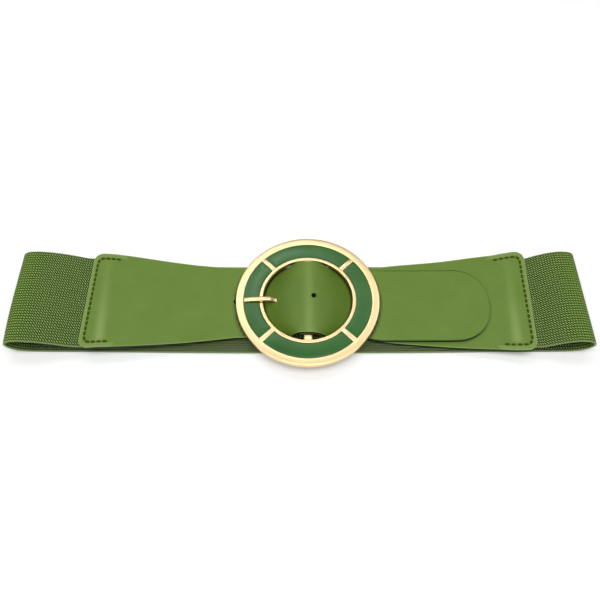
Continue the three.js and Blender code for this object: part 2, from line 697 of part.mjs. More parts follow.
// Prong: shaft from the bar, up through the hole, over the inner rim to the outer rim.
// Reach from the bar as a share of the channel's outer radius; rise as a share from
// the bar's middle (0) to the level on the rim (1)
const PRONG_RUN = [
  { reach: 0.080, rise: 0.00, wide: 1.00, tall: 1.00 },
  { reach: 0.200, rise: 0.03, wide: 1.00, tall: 1.00 },
  { reach: 0.400, rise: 0.08, wide: 1.00, tall: 1.00 },
  { reach: 0.500, rise: 0.25, wide: 1.00, tall: 1.00 },
  { reach: 0.555, rise: 0.68, wide: 1.00, tall: 1.00 },
  { reach: 0.600, rise: 0.93, wide: 1.00, tall: 1.00 },
  { reach: 0.660, rise: 1.00, wide: 1.00, tall: 1.00 },
  { reach: 0.880, rise: 1.00, wide: 1.00, tall: 0.95 },
  { reach: 0.910, rise: 0.93, wide: 1.02, tall: 0.72 },
  { reach: 0.985, rise: 0.90, wide: 0.98, tall: 0.60 },
  { reach: 0.996, rise: 0.90, wide: 0.80, tall: 0.40 },
];
function prongShaft(grow) {
  const positions = [];
  const index = [];
  const sides = 10;
  const from = (BAR_TOP + BAR_BOTTOM) / 2;
  const to = RING_TOP + GAP + PRONG_HEIGHT / 2;
  for (const row of PRONG_RUN) {
    const x = BAR_X - row.reach * CHANNEL_OUTER - (row === PRONG_RUN[PRONG_RUN.length - 1] ? grow : 0);
    const z = mix(from, to, row.rise);
    const wide = (PRONG_WIDTH / 2) * row.wide + grow;
    const tall = (PRONG_HEIGHT / 2) * row.tall + grow;
    for (let k = 0; k < sides; k += 1) {
      const a = (2 * Math.PI * (k + 0.5)) / sides;
      const c = Math.sign(Math.cos(a)) * Math.abs(Math.cos(a)) ** PRONG_SQUARENESS;
      const s = Math.sign(Math.sin(a)) * Math.abs(Math.sin(a)) ** PRONG_SQUARENESS;
      positions.push(x, wide * c - PRONG_SWING * row.reach, z + tall * s);
    }
  }
  const rows = PRONG_RUN.length;
  for (let i = 0; i < rows - 1; i += 1) {
    for (let k = 0; k < sides; k += 1) {
      const a = i * sides + k;
      const b = i * sides + ((k + 1) % sides);
      index.push(a, b, b + sides, a, b + sides, a + sides);
    }
  }
  const last = (rows - 1) * sides;
  for (let k = 1; k < sides - 1; k += 1) {
    index.push(0, k + 1, k, last, last + k, last + k + 1);
  }
  const geometry = new THREE.BufferGeometry();
  geometry.setAttribute('position', new THREE.Float32BufferAttribute(positions, 3));
  geometry.setIndex(index);
  return outward(geometry);
}
function prong() {
  const middle = (BAR_TOP + BAR_BOTTOM) / 2;
  const clear = 2 * GAP;
  const eye = stadium(BAR_WIDTH + clear + 2 * PRONG_LOOP, BAR_HEIGHT + clear + 2 * PRONG_LOOP);
  const bore = stadium(BAR_WIDTH + clear, BAR_HEIGHT + clear);
  const drum = (shape, width) => {
    const g = extrudeAcross(shape, width, middle, BAR_X);
    g.deleteAttribute('normal');
    g.deleteAttribute('uv');
    return toSolid(g);
  };
  let solid = drum(eye, PRONG_WIDTH).add(toSolid(prongShaft(0)));
  solid = solid.subtract(drum(bore, 3 * PRONG_WIDTH));
  return toGeometry(solid);
}

// Finishes
const LEATHER = { color: 0x6b8a3e, roughness: 0.55, metalness: 0 };
const ELASTIC = { color: 0x5f763e, roughness: 0.9, metalness: 0 };
const GOLD = { color: 0xe9c88a, roughness: 0.28, metalness: 1 };
const ENAMEL = { color: 0x41784b, roughness: 0.15, metalness: 0 };

const group = new THREE.Group();
group.name = 'stretch_belt';
function place(name, geometry, finish) {
  const mesh = new THREE.Mesh(geometry, new THREE.MeshStandardMaterial(finish));
  mesh.name = name;
  geometry.computeVertexNormals();
  group.add(mesh);
}
place('elastic_band', elasticBand(), ELASTIC);
place('tongue_strap', tongueStrap(), LEATHER);
place('buckle_strap', buckleStrap(), LEATHER);
place('buckle_frame', buckleFrame(), GOLD);
['enamel_far', 'enamel_left', 'enamel_near', 'enamel_right'].forEach((name, quarter) => {
  place(name, enamel(quarter), ENAMEL);
});
place('prong', prong(), GOLD);

export default group;
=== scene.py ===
"""Studio scene of a wide elastic waist belt with a round enamelled ring buckle.

The belt lies fastened and folded flat, buckle up. Sizes are in millimetres in the classes and
become metres when a mesh is written. The depths of bumps, the table's size and the places of the
light panels are in metres. X runs along the belt, Y away from the camera, Z up.
"""
import logging
import math
from contextlib import contextmanager
from dataclasses import dataclass, field
from enum import Enum
from typing import Callable, Dict, Iterator, List, Optional, Sequence, Tuple, Union

import bpy
import numpy as np
from mathutils import Euler, Matrix, Vector


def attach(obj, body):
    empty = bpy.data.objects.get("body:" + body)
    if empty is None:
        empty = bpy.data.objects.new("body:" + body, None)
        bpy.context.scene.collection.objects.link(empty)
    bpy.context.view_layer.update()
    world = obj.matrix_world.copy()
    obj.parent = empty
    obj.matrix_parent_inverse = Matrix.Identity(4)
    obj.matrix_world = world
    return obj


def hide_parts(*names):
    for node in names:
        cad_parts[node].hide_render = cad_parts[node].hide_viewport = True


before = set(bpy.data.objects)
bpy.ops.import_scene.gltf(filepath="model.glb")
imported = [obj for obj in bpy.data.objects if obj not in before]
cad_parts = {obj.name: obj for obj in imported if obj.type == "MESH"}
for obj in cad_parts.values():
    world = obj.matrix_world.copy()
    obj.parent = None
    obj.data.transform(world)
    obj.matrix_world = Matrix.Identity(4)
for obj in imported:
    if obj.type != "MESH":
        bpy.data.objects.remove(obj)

LOG = logging.getLogger("stretch_belt")
MM = 0.001
WHITE = (1.0, 1.0, 1.0, 1.0)
Array = np.ndarray
Rows = Sequence[Tuple[float, float]]
HeightField = Callable[[Array, Array], Array]
Colour = Tuple[int, int, int]
Place = Tuple[float, float, float]
Piece = bpy.types.Object


# Sizes

@dataclass(frozen=True)
class BeltSizes:
    """Named sizes of the belt in millimetres, the same as in the part's source."""

    gap: float = 0.3
    belt_length: float = 338.8
    fold_height: float = 15.0
    band_width: float = 60.0
    band_thickness: float = 1.4
    band_overlap: float = 12.0
    band_bow: float = 2.2
    back_waist: float = 0.9
    near_lift: float = 0.25
    near_rise: float = 40.0
    far_lift: float = 0.15
    far_rise: float = 60.0
    near_tuck: float = 1.3
    strap_thickness: float = 1.9
    strap_width: float = 47.2
    panel_width: float = 66.2
    panel_thickness: float = 2.7
    left_reach: float = 130.8
    right_reach: float = 131.9
    panel_skew: float = 1.3
    panel_corner: float = 5.5
    tongue_reach: float = 108.0
    tongue_tip: float = 22.0
    tongue_slip: float = 2.2
    slip_span: float = 14.0
    doubling_from: float = 0.62
    doubling_to: float = 0.86
    hole_diameter: float = 3.1
    hole_pitch: float = 23.2
    prong_hole_reach: float = 19.6
    rest_lift: float = 0.6
    turn_back: float = 16.0
    turn_back_width: float = 26.0
    turn_back_taper: float = 1.15
    turn_back_drop: float = 2.4
    bar_x: float = 5.4
    ring_radius: float = 42.6
    ring_thickness: float = 2.9
    outer_rim: float = 4.6
    inner_rim: float = 2.2
    hole_radius: float = 26.6
    recess_depth: float = 2.0
    spoke_width: float = 2.9
    ring_clearance: float = 0.65
    bar_width: float = 5.2
    bar_height: float = 2.4
    enamel_drop: float = 0.8
    prong_width: float = 2.9
    prong_height: float = 1.9
    prong_loop: float = 1.2
    prong_clearance: float = 0.35
    prong_squareness: float = 0.45
    prong_swing: float = 1.5

    @property
    def buckle_rest(self) -> float:
        """Underside of the buckle strap beside the ring."""
        return self.band_thickness + self.gap + self.rest_lift

    @property
    def ring_bottom(self) -> float:
        """Underside of the ring."""
        return self.buckle_rest + 2 * self.strap_thickness + self.gap + self.ring_clearance

    @property
    def ring_top(self) -> float:
        """Top of the rims."""
        return self.ring_bottom + self.ring_thickness

    @property
    def bar_middle(self) -> float:
        """Height of the bar's middle."""
        return self.ring_bottom + self.bar_height / 2

    @property
    def buckle_crest(self) -> float:
        """Underside of the buckle strap on the bar."""
        return self.ring_bottom + self.bar_height + self.gap

    @property
    def tongue_crest(self) -> float:
        """Underside of the tongue strap over the bar."""
        return self.buckle_crest + self.strap_thickness + self.gap

    @property
    def channel_inner(self) -> float:
        """Radius of the recess's inner wall."""
        return self.hole_radius + self.inner_rim

    @property
    def channel_outer(self) -> float:
        """Radius of the recess's outer wall."""
        return self.ring_radius - self.outer_rim


SIZES = BeltSizes()

ARCH: Rows = ((0.0, 1.0), (0.2, 0.96), (0.4, 0.84), (0.6, 0.64), (0.8, 0.36), (0.92, 0.16),
              (1.02, 0.045), (1.18, 0.0))
LEFT_RUN: Rows = ((0.2, 0.155), (0.38, 0.158), (0.49, 0.17), (0.67, 0.258), (0.85, 0.35),
                  (0.88, 0.368), (0.905, 0.392), (1.0, 0.402))
RIGHT_RUN: Rows = ((0.38, 0.0), (0.57, 0.004), (0.69, 0.036), (0.75, 0.072), (0.83, 0.122),
                   (0.88, 0.165), (0.915, 0.232), (1.0, 0.34))
LEFT_FAR_SPREAD: Rows = ((0.3, 0.0), (0.38, 0.025), (0.49, 0.13), (0.67, 0.4), (0.85, 0.69),
                         (0.92, 0.78), (1.0, 0.82))
LEFT_NEAR_SPREAD: Rows = ((0.3, 0.0), (0.38, 0.11), (0.49, 0.29), (0.67, 0.55), (0.85, 0.765),
                          (0.92, 0.83), (1.0, 0.905))
RIGHT_FAR_SPREAD: Rows = ((0.24, 0.0), (0.3, 0.08), (0.41, 0.265), (0.57, 0.475), (0.75, 0.735),
                          (0.86, 0.865), (0.93, 0.96), (1.0, 1.01))
RIGHT_NEAR_SPREAD: Rows = ((0.24, 0.0), (0.3, 0.16), (0.41, 0.345), (0.57, 0.525), (0.75, 0.73),
                           (0.86, 0.85), (0.93, 0.95), (1.0, 1.0))
RISE: Rows = ((0.0, 0.0), (0.1, 0.02), (0.215, 0.12), (0.33, 0.31), (0.51, 0.59), (0.755, 0.88),
              (1.0, 1.0))
FOLD_END: Rows = ((0.62, 1.0), (0.3, 0.96), (0.09, 0.815), (0.0, 0.6), (0.06, 0.38), (0.25, 0.185),
                  (0.55, 0.064), (1.0, 0.01), (1.6, 0.0))


# Shape of the belt

def read_rows(rows: Rows, at: Union[float, Array]) -> Array:
    """Reads a two-column table smoothly.

    Args:
        rows: Pairs of place and value, places rising.
        at: Places to read at.

    Returns:
        The values, by monotone cubic pieces, level at both ends.
    """
    xs = np.array([r[0] for r in rows])
    ys = np.array([r[1] for r in rows])
    slopes = np.diff(ys) / np.diff(xs)
    tangents = np.zeros(len(xs))
    for k in range(1, len(xs) - 1):
        a, b = slopes[k - 1], slopes[k]
        tangents[k] = 0.0 if a * b <= 0 else 2 * a * b / (a + b)
    x = np.clip(np.asarray(at, dtype=float), xs[0], xs[-1])
    i = np.clip(np.searchsorted(xs, x, side="right") - 1, 0, len(xs) - 2)
    width = xs[i + 1] - xs[i]
    t = (x - xs[i]) / width
    return ((1 + 2 * t) * (1 - t) ** 2 * ys[i] + t * (1 - t) ** 2 * width * tangents[i]
            + t * t * (3 - 2 * t) * ys[i + 1] + t * t * (t - 1) * width * tangents[i + 1])


def mix(a: Array, b: Array, t: Array) -> Array:
    """Blends from a to b by t."""
    return a + (b - a) * t


def smooth(t: Array) -> Array:
    """Smooth step of t, held between 0 and 1."""
    t = np.clip(t, 0.0, 1.0)
    return t * t * (3 - 2 * t)


@dataclass(frozen=True)
class StrapForm:
    """Heights and outlines of the two leather straps as functions of X and Y."""

    s: BeltSizes = SIZES
    hole_air: float = 0.7
    slope_share: float = 0.65
    least_chord: float = 0.4
    arch_span: float = 1.15
    tip_bow: float = 2.3
    tip_fullness: float = 2.1
    tip_blunt: float = 0.02

    def free_chord(self, y: Array) -> Array:
        """Free length of a strap inside the ring's hole at a place across it."""
        r = self.s.hole_radius - self.hole_air - self.slope_share * self.s.strap_thickness
        return np.sqrt(np.maximum(r * r - y * y, (self.least_chord * r) ** 2))

    def arch(self, x: Array, y: Array) -> Array:
        """Share of the crest's height that a strap has at x and y."""
        left = self.s.bar_width / 2 + self.s.strap_thickness / 3
        flat = np.where(x < self.s.bar_x, left, self.s.bar_width / 4)
        reach = np.maximum(np.abs(x - self.s.bar_x) - flat, 0) / (self.free_chord(y) - flat)
        return read_rows(ARCH, reach)

    def along(self, x: Array) -> Array:
        """Distance from the bar as a share of that side's panel reach."""
        reach = np.where(x < self.s.bar_x, self.s.left_reach, self.s.right_reach)
        return np.abs(x - self.s.bar_x) / reach

    def lift(self, rows: Rows, x: Array) -> Array:
        """Lift of a panel's underside over the back run."""
        return read_rows(rows, self.along(x)) * self.s.fold_height

    def panel_half(self, rows: Rows, x: Array) -> Array:
        """Half width of a panel at x."""
        return mix(self.s.strap_width / 2, self.s.panel_width / 2, read_rows(rows, self.along(x)))

    def thickness(self, x: Array) -> Array:
        """Leather thickness at x, doubled towards the panel ends."""
        s = self.s
        share = smooth((self.along(x) - s.doubling_from) / (s.doubling_to - s.doubling_from))
        return mix(s.strap_thickness, s.panel_thickness, share)

    def buckle_under(self, x: Array, y: Array) -> Array:
        """Underside height of the buckle strap."""
        rest = self.s.buckle_rest + self.lift(RIGHT_RUN, x)
        over = mix(rest, self.s.buckle_crest, self.arch(x, y))
        return np.where(x <= self.s.bar_x, self.s.buckle_crest, over)

    def tongue_under(self, x: Array, y: Array) -> Array:
        """Underside height of the tongue strap."""
        rest = self.s.band_thickness + self.s.gap + self.lift(LEFT_RUN, x)
        left = mix(rest, self.s.tongue_crest, self.arch(x, y))
        right = height_over(self.buckle_under, x, y, self.thickness(x) + self.s.gap)
        return np.where(x >= self.s.bar_x, right, left)

    def tongue_middle(self, x: Array) -> Array:
        """Y of the tongue strap's middle line at x."""
        start = self.s.bar_x + self.s.hole_radius * self.arch_span
        slip = -self.s.tongue_slip * smooth((x - start) / self.s.slip_span)
        skew = (self.panel_half(LEFT_FAR_SPREAD, x) - self.panel_half(LEFT_NEAR_SPREAD, x)) / 2
        return np.where(x < self.s.bar_x, skew, slip)

    def tongue_half(self, x: Array) -> Array:
        """Half width of the tongue strap at x, its rounded corners and tip included."""
        s = self.s
        tip = s.bar_x + s.tongue_reach
        t = np.clip((x - (tip - s.tongue_tip)) / s.tongue_tip, 0, 1)
        rounded = np.power(1 - np.power(t, self.tip_bow), 1 / self.tip_fullness)
        free = s.strap_width / 2 * np.maximum(rounded, self.tip_blunt)
        panel = (self.panel_half(LEFT_FAR_SPREAD, x) + self.panel_half(LEFT_NEAR_SPREAD, x)) / 2
        half = np.where(x < s.bar_x, panel, free)
        return rounded_end(half, x - (s.bar_x - s.left_reach), s.panel_corner)

    def buckle_half(self, x: Array) -> Array:
        """Half width of the buckle strap at x, its rounded corners included."""
        s = self.s
        panel = (self.panel_half(RIGHT_FAR_SPREAD, x) + self.panel_half(RIGHT_NEAR_SPREAD, x)) / 2
        return rounded_end(panel, s.bar_x + s.right_reach - x, s.panel_corner)

    def buckle_middle(self, x: Array) -> Array:
        """Y of the buckle strap's middle line at x."""
        return (self.panel_half(RIGHT_FAR_SPREAD, x) - self.panel_half(RIGHT_NEAR_SPREAD, x)) / 2

    def buckle_skew(self, x: Array) -> Array:
        """Shift along X of the right panel's far edge."""
        share = (self.along(x) - self.s.doubling_from) / (1 - self.s.doubling_from)
        return self.s.panel_skew * smooth(share)


SLOPE_STEP = 0.6
SEARCH_REACH = 1.1
SEARCH_STEPS = 15
LEAST_SPAN = 1e-9


def slope_of(under: HeightField, x: Array, y: Array) -> Array:
    """Slope of a height field along X."""
    return (under(x + SLOPE_STEP, y) - under(x - SLOPE_STEP, y)) / (2 * SLOPE_STEP)


def point_over(under: HeightField, x: Array, y: Array, distance: Array) -> Tuple[Array, Array]:
    """Point a set distance over an underside, square to it along X.

    Args:
        under: The underside's height field.
        x: Places along the belt.
        y: Places across the belt.
        distance: Distance from the underside.

    Returns:
        X and Z of the points.
    """
    slope = slope_of(under, x, y)
    length = np.hypot(1, slope)
    return x - slope / length * distance, under(x, y) + distance / length


def height_over(under: HeightField, x: Array, y: Array, distance: Array) -> Array:
    """Height at x of the surface that runs a set distance over an underside."""
    shares = np.linspace(-SEARCH_REACH, SEARCH_REACH, SEARCH_STEPS)
    tops = [point_over(under, x + share * distance, y, distance) for share in shares]
    highest = under(x, y) + distance
    for (ax, az), (bx, bz) in zip(tops[:-1], tops[1:]):
        span = np.where(np.abs(bx - ax) < LEAST_SPAN, 1.0, bx - ax)
        z = az + (bz - az) * (x - ax) / span
        highest = np.where((ax - x) * (bx - x) <= 0, np.maximum(highest, z), highest)
    return highest


def rounded_end(half: Array, distance: Array, corner: float) -> Array:
    """Half width near a rounded end, at a distance from that end."""
    d = np.clip(distance, 0, corner)
    return half - corner + np.sqrt(np.maximum(corner * corner - (corner - d) ** 2, 0))


def spline(points: Array, count: int) -> Array:
    """Centripetal Catmull-Rom curve through points.

    Args:
        points: The points, one a row.
        count: Samples for each piece.

    Returns:
        The curve's points.
    """
    ends = np.vstack([2 * points[0] - points[1], points, 2 * points[-1] - points[-2]])
    out: List[Array] = []
    for i in range(1, len(ends) - 2):
        p = ends[i - 1:i + 3]
        knots = np.concatenate([[0], np.cumsum(np.sqrt(np.linalg.norm(np.diff(p, axis=0), axis=1)))])
        for t in np.linspace(knots[1], knots[2], count, endpoint=False):
            a = [(knots[k + 1] - t) / (knots[k + 1] - knots[k]) * p[k]
                 + (t - knots[k]) / (knots[k + 1] - knots[k]) * p[k + 1] for k in range(3)]
            b = [(knots[k + 2] - t) / (knots[k + 2] - knots[k]) * a[k]
                 + (t - knots[k]) / (knots[k + 2] - knots[k]) * a[k + 1] for k in range(2)]
            out.append((knots[2] - t) / (knots[2] - knots[1]) * b[0]
                       + (t - knots[1]) / (knots[2] - knots[1]) * b[1])
    out.append(points[-1])
    return np.array(out)


UNDER_STEPS = 9
RISE_STEPS = 21
FOLD_STEPS = 8
BACK_STEPS = 120


def band_path(s: BeltSizes, form: StrapForm) -> Array:
    """Middle line of the elastic band in X and Z, from under the left panel to under the right one.

    Args:
        s: The belt's sizes.
        form: The straps' form, which the band's ends follow.

    Returns:
        Points, one a row.
    """
    half = s.band_thickness / 2
    crest_z = s.fold_height - half
    face = s.belt_length / 2 - half

    def side(sign: int, rows: Rows, base: float) -> Array:
        """The line from under one panel to the end of that side's fold."""
        panel_x = s.bar_x + (s.right_reach if sign > 0 else -s.left_reach)
        xs = np.linspace(panel_x - sign * s.band_overlap, panel_x, UNDER_STEPS)
        under = [(x, float(base + form.lift(rows, np.array(x)) - s.gap - half)) for x in xs]
        crest_x = sign * (face - FOLD_END[0][0] * s.fold_height)
        start = under[-1]
        rise = [(mix(start[0], crest_x, t), mix(start[1], crest_z, float(read_rows(RISE, t))))
                for t in np.linspace(0, 1, RISE_STEPS)[1:-1]]
        ends = np.array([(sign * (face - r[0] * s.fold_height), mix(half, crest_z, r[1])) for r in FOLD_END])
        return np.vstack([np.array(under), np.array(rise), spline(ends, FOLD_STEPS)])

    left = side(-1, LEFT_RUN, s.band_thickness + s.gap)
    right = side(1, RIGHT_RUN, s.buckle_rest)
    back = np.linspace(left[-1][0], right[-1][0], BACK_STEPS)[1:-1]
    floor = np.column_stack([back, np.full(len(back), half)])
    return np.vstack([left, floor, right[::-1]])


# Finishes

def linear(red: int, green: int, blue: int) -> Tuple[float, float, float, float]:
    """Turns a colour as seen on a screen, 0 to 255, into a scene colour."""
    def one(c: float) -> float:
        """Turns one channel."""
        c /= 255.0
        return c / 12.92 if c <= 0.04045 else ((c + 0.055) / 1.055) ** 2.4
    return one(red), one(green), one(blue), 1.0


class Sock:
    """A node socket that takes part in Python expressions."""

    def __init__(self, graph: "Graph", out: bpy.types.NodeSocket) -> None:
        """Wraps an output socket of a graph."""
        self.graph = graph
        self.out = out

    def _math(self, operation: str, *values: "Value") -> "Sock":
        """Adds a Math node with these values."""
        node = self.graph.node("ShaderNodeMath", {"operation": operation}, dict(enumerate(values)))
        return Sock(self.graph, node.outputs[0])

    def __add__(self, other: "Value") -> "Sock":
        """Sum."""
        return self._math("ADD", self, other)

    __radd__ = __add__

    def __sub__(self, other: "Value") -> "Sock":
        """Difference."""
        return self._math("SUBTRACT", self, other)

    def __rsub__(self, other: "Value") -> "Sock":
        """Difference from a value."""
        return self._math("SUBTRACT", other, self)

    def __mul__(self, other: "Value") -> "Sock":
        """Product."""
        return self._math("MULTIPLY", self, other)

    __rmul__ = __mul__

    def __truediv__(self, other: "Value") -> "Sock":
        """Quotient."""
        return self._math("DIVIDE", self, other)

    def cos(self) -> "Sock":
        """Cosine."""
        return self._math("COSINE", self)

    def at_least(self, other: "Value") -> "Sock":
        """The larger of the two."""
        return self._math("MAXIMUM", self, other)

    def at_most(self, other: "Value") -> "Sock":
        """The smaller of the two."""
        return self._math("MINIMUM", self, other)

    def held(self) -> "Sock":
        """Held between 0 and 1."""
        return self.at_least(0.0).at_most(1.0)


Value = Union[Sock, float, int, Tuple[float, ...]]
Inputs = Dict[Union[int, str], Value]
Settings = Dict[str, object]


class Graph:
    """Builds one procedural material."""

    def __init__(self, name: str) -> None:
        """Starts an empty material."""
        self.material = bpy.data.materials.new(name)
        self.material.use_nodes = True
        self.tree = self.material.node_tree
        self.tree.nodes.clear()
        self.shader = self.node("ShaderNodeBsdfPrincipled", {}, {})
        output = self.node("ShaderNodeOutputMaterial", {}, {})
        self.tree.links.new(self.shader.outputs[0], output.inputs[0])

    def feed(self, socket: bpy.types.NodeSocket, value: Value) -> None:
        """Links a value to a socket, or sets it there."""
        if isinstance(value, Sock):
            self.tree.links.new(value.out, socket)
        else:
            socket.default_value = value

    def node(self, kind: str, settings: Settings, inputs: Inputs) -> bpy.types.Node:
        """Adds a node.

        Args:
            kind: The node's type.
            settings: Attributes that are set before the sockets.
            inputs: Values or links of its sockets, by name or number.

        Returns:
            The node.
        """
        made = self.tree.nodes.new(kind)
        for key, value in settings.items():
            setattr(made, key, value)
        for key, value in inputs.items():
            self.feed(made.inputs[key], value)
        return made

    def value(self, kind: str, settings: Settings, inputs: Inputs, out: Union[int, str] = 0) -> Sock:
        """Adds a node and gives one of its outputs."""
        return Sock(self, self.node(kind, settings, inputs).outputs[out])

    def flat(self) -> Tuple[Sock, Sock]:
        """The piece's own flat coordinates, in millimetres along and across."""
        uv = self.value("ShaderNodeUVMap", {"uv_map": "flat"}, {})
        parts = self.node("ShaderNodeSeparateXYZ", {}, {0: uv})
        return Sock(self, parts.outputs[0]) * 1000.0, Sock(self, parts.outputs[1]) * 1000.0

    def attribute(self, name: str) -> Sock:
        """A number stored on the mesh."""
        return self.value("ShaderNodeAttribute", {"attribute_name": name}, {}, "Fac")

    def place(self) -> Sock:
        """Object coordinates, in metres."""
        return self.value("ShaderNodeTexCoord", {}, {}, "Object")

    def vector(self, x: Value, y: Value) -> Sock:
        """A vector of two values."""
        return self.value("ShaderNodeCombineXYZ", {}, {0: x, 1: y})

    def noise(self, at: Sock, scale: float, detail: float = 2.0, roughness: float = 0.5) -> Sock:
        """Soft noise from 0 to 1."""
        inputs = {"Vector": at, "Scale": scale, "Detail": detail, "Roughness": roughness}
        return self.value("ShaderNodeTexNoise", {}, inputs)

    def colours(self, a: Union[Sock, Colour], b: Union[Sock, Colour], share: Sock) -> Sock:
        """Mixes two colours by a share, each of them a link or a colour as seen on a screen."""
        first, second = (end if isinstance(end, Sock) else linear(*end) for end in (a, b))
        settings = {"data_type": "RGBA", "clamp_factor": True}
        return self.value("ShaderNodeMix", settings, {0: share, 6: first, 7: second}, 2)

    def bump(self, height: Sock, depth: float, strength: float, before: Optional[Sock] = None) -> Sock:
        """Adds a bump of a depth in metres."""
        inputs: Inputs = {"Height": height, "Distance": depth, "Strength": strength}
        if before is not None:
            inputs["Normal"] = before
        return self.value("ShaderNodeBump", {}, inputs)

    def finish(self, inputs: Dict[str, Value]) -> bpy.types.Material:
        """Sets the shader's sockets and gives the material."""
        for key, value in inputs.items():
            self.feed(self.shader.inputs[key], value)
        return self.material


@dataclass(frozen=True)
class ElasticFinish:
    """Woven elastic: slanting rows of small yarn floats with dark gaps between them, and painted shade on its
    low, inner runs.
    """

    name: str = "olive_webbing"
    along: float = 1.45
    across: float = 1.65
    wander: float = 1.0
    wander_scale: float = 0.22
    sway: float = 0.5
    sway_scale: float = 0.17
    speckle_scale: float = 1.3
    edge_from: float = 0.25
    edge_width: float = 0.7
    relief: float = 0.0004
    gap: Colour = (8, 18, 1)
    yarn: Colour = (76, 106, 30)
    crown: Colour = (168, 198, 110)
    # shade and pale make a darker, harder copy of the weave: painted shade for the low, inner runs.
    shade: Colour = (3, 6, 1)
    pale: Colour = (146, 168, 108)
    stretch_and_shade: Colour = (112, 148, 30)
    selvage: Colour = (138, 160, 104)

    def build(self) -> bpy.types.Material:
        """Makes the material."""
        g = Graph(self.name)
        u, v = g.flat()
        spot = g.vector(u, v)
        fold = g.attribute("fold")
        inside = g.attribute("inside")
        u2 = u + (g.noise(spot, self.wander_scale, 2.0) - 0.5) * self.wander
        v2 = v + (g.noise(spot, self.sway_scale, 1.0) - 0.5) * self.sway
        slant = ((v2 / self.across - u2 / self.along) * math.tau).cos()
        row = ((v2 / self.across) * math.tau).cos()
        column = ((u2 / self.along) * math.tau).cos()
        weave = slant * (0.4 - fold * 0.2) + row * (0.14 + fold * 0.16) + column * 0.1 + 0.5
        speckle = g.noise(spot, self.speckle_scale, 3.0, 0.7)
        tone = (weave + (speckle - 0.5) * 0.6).held()
        base = g.colours(self.gap, self.yarn, (tone * 2.6 - 0.55).held())
        base = g.colours(base, self.crown, ((tone - 0.58) * 2.2).held())
        # Painted shade: the band's low, inner runs take the darker copy of the weave.
        back = g.colours(self.shade, self.pale, ((tone - 0.6) * 5.0).held())
        base = g.colours(base, back, inside * 0.92)
        # The folds' own lighter, yellower stretched yarn.
        base = g.colours(base, self.stretch_and_shade, fold * 0.24)
        edge = g.attribute("edge_mm")
        rim = (1.0 - (edge - self.edge_from) / self.edge_width).held()
        base = g.colours(base, self.selvage, rim * 0.7)
        normal = g.bump(weave, self.relief, 0.8)
        return g.finish({"Base Color": base, "Roughness": 0.86 - weave * 0.14, "Normal": normal,
                         "Sheen Weight": 0.05, "Sheen Roughness": 0.4, "Specular IOR Level": 0.3})


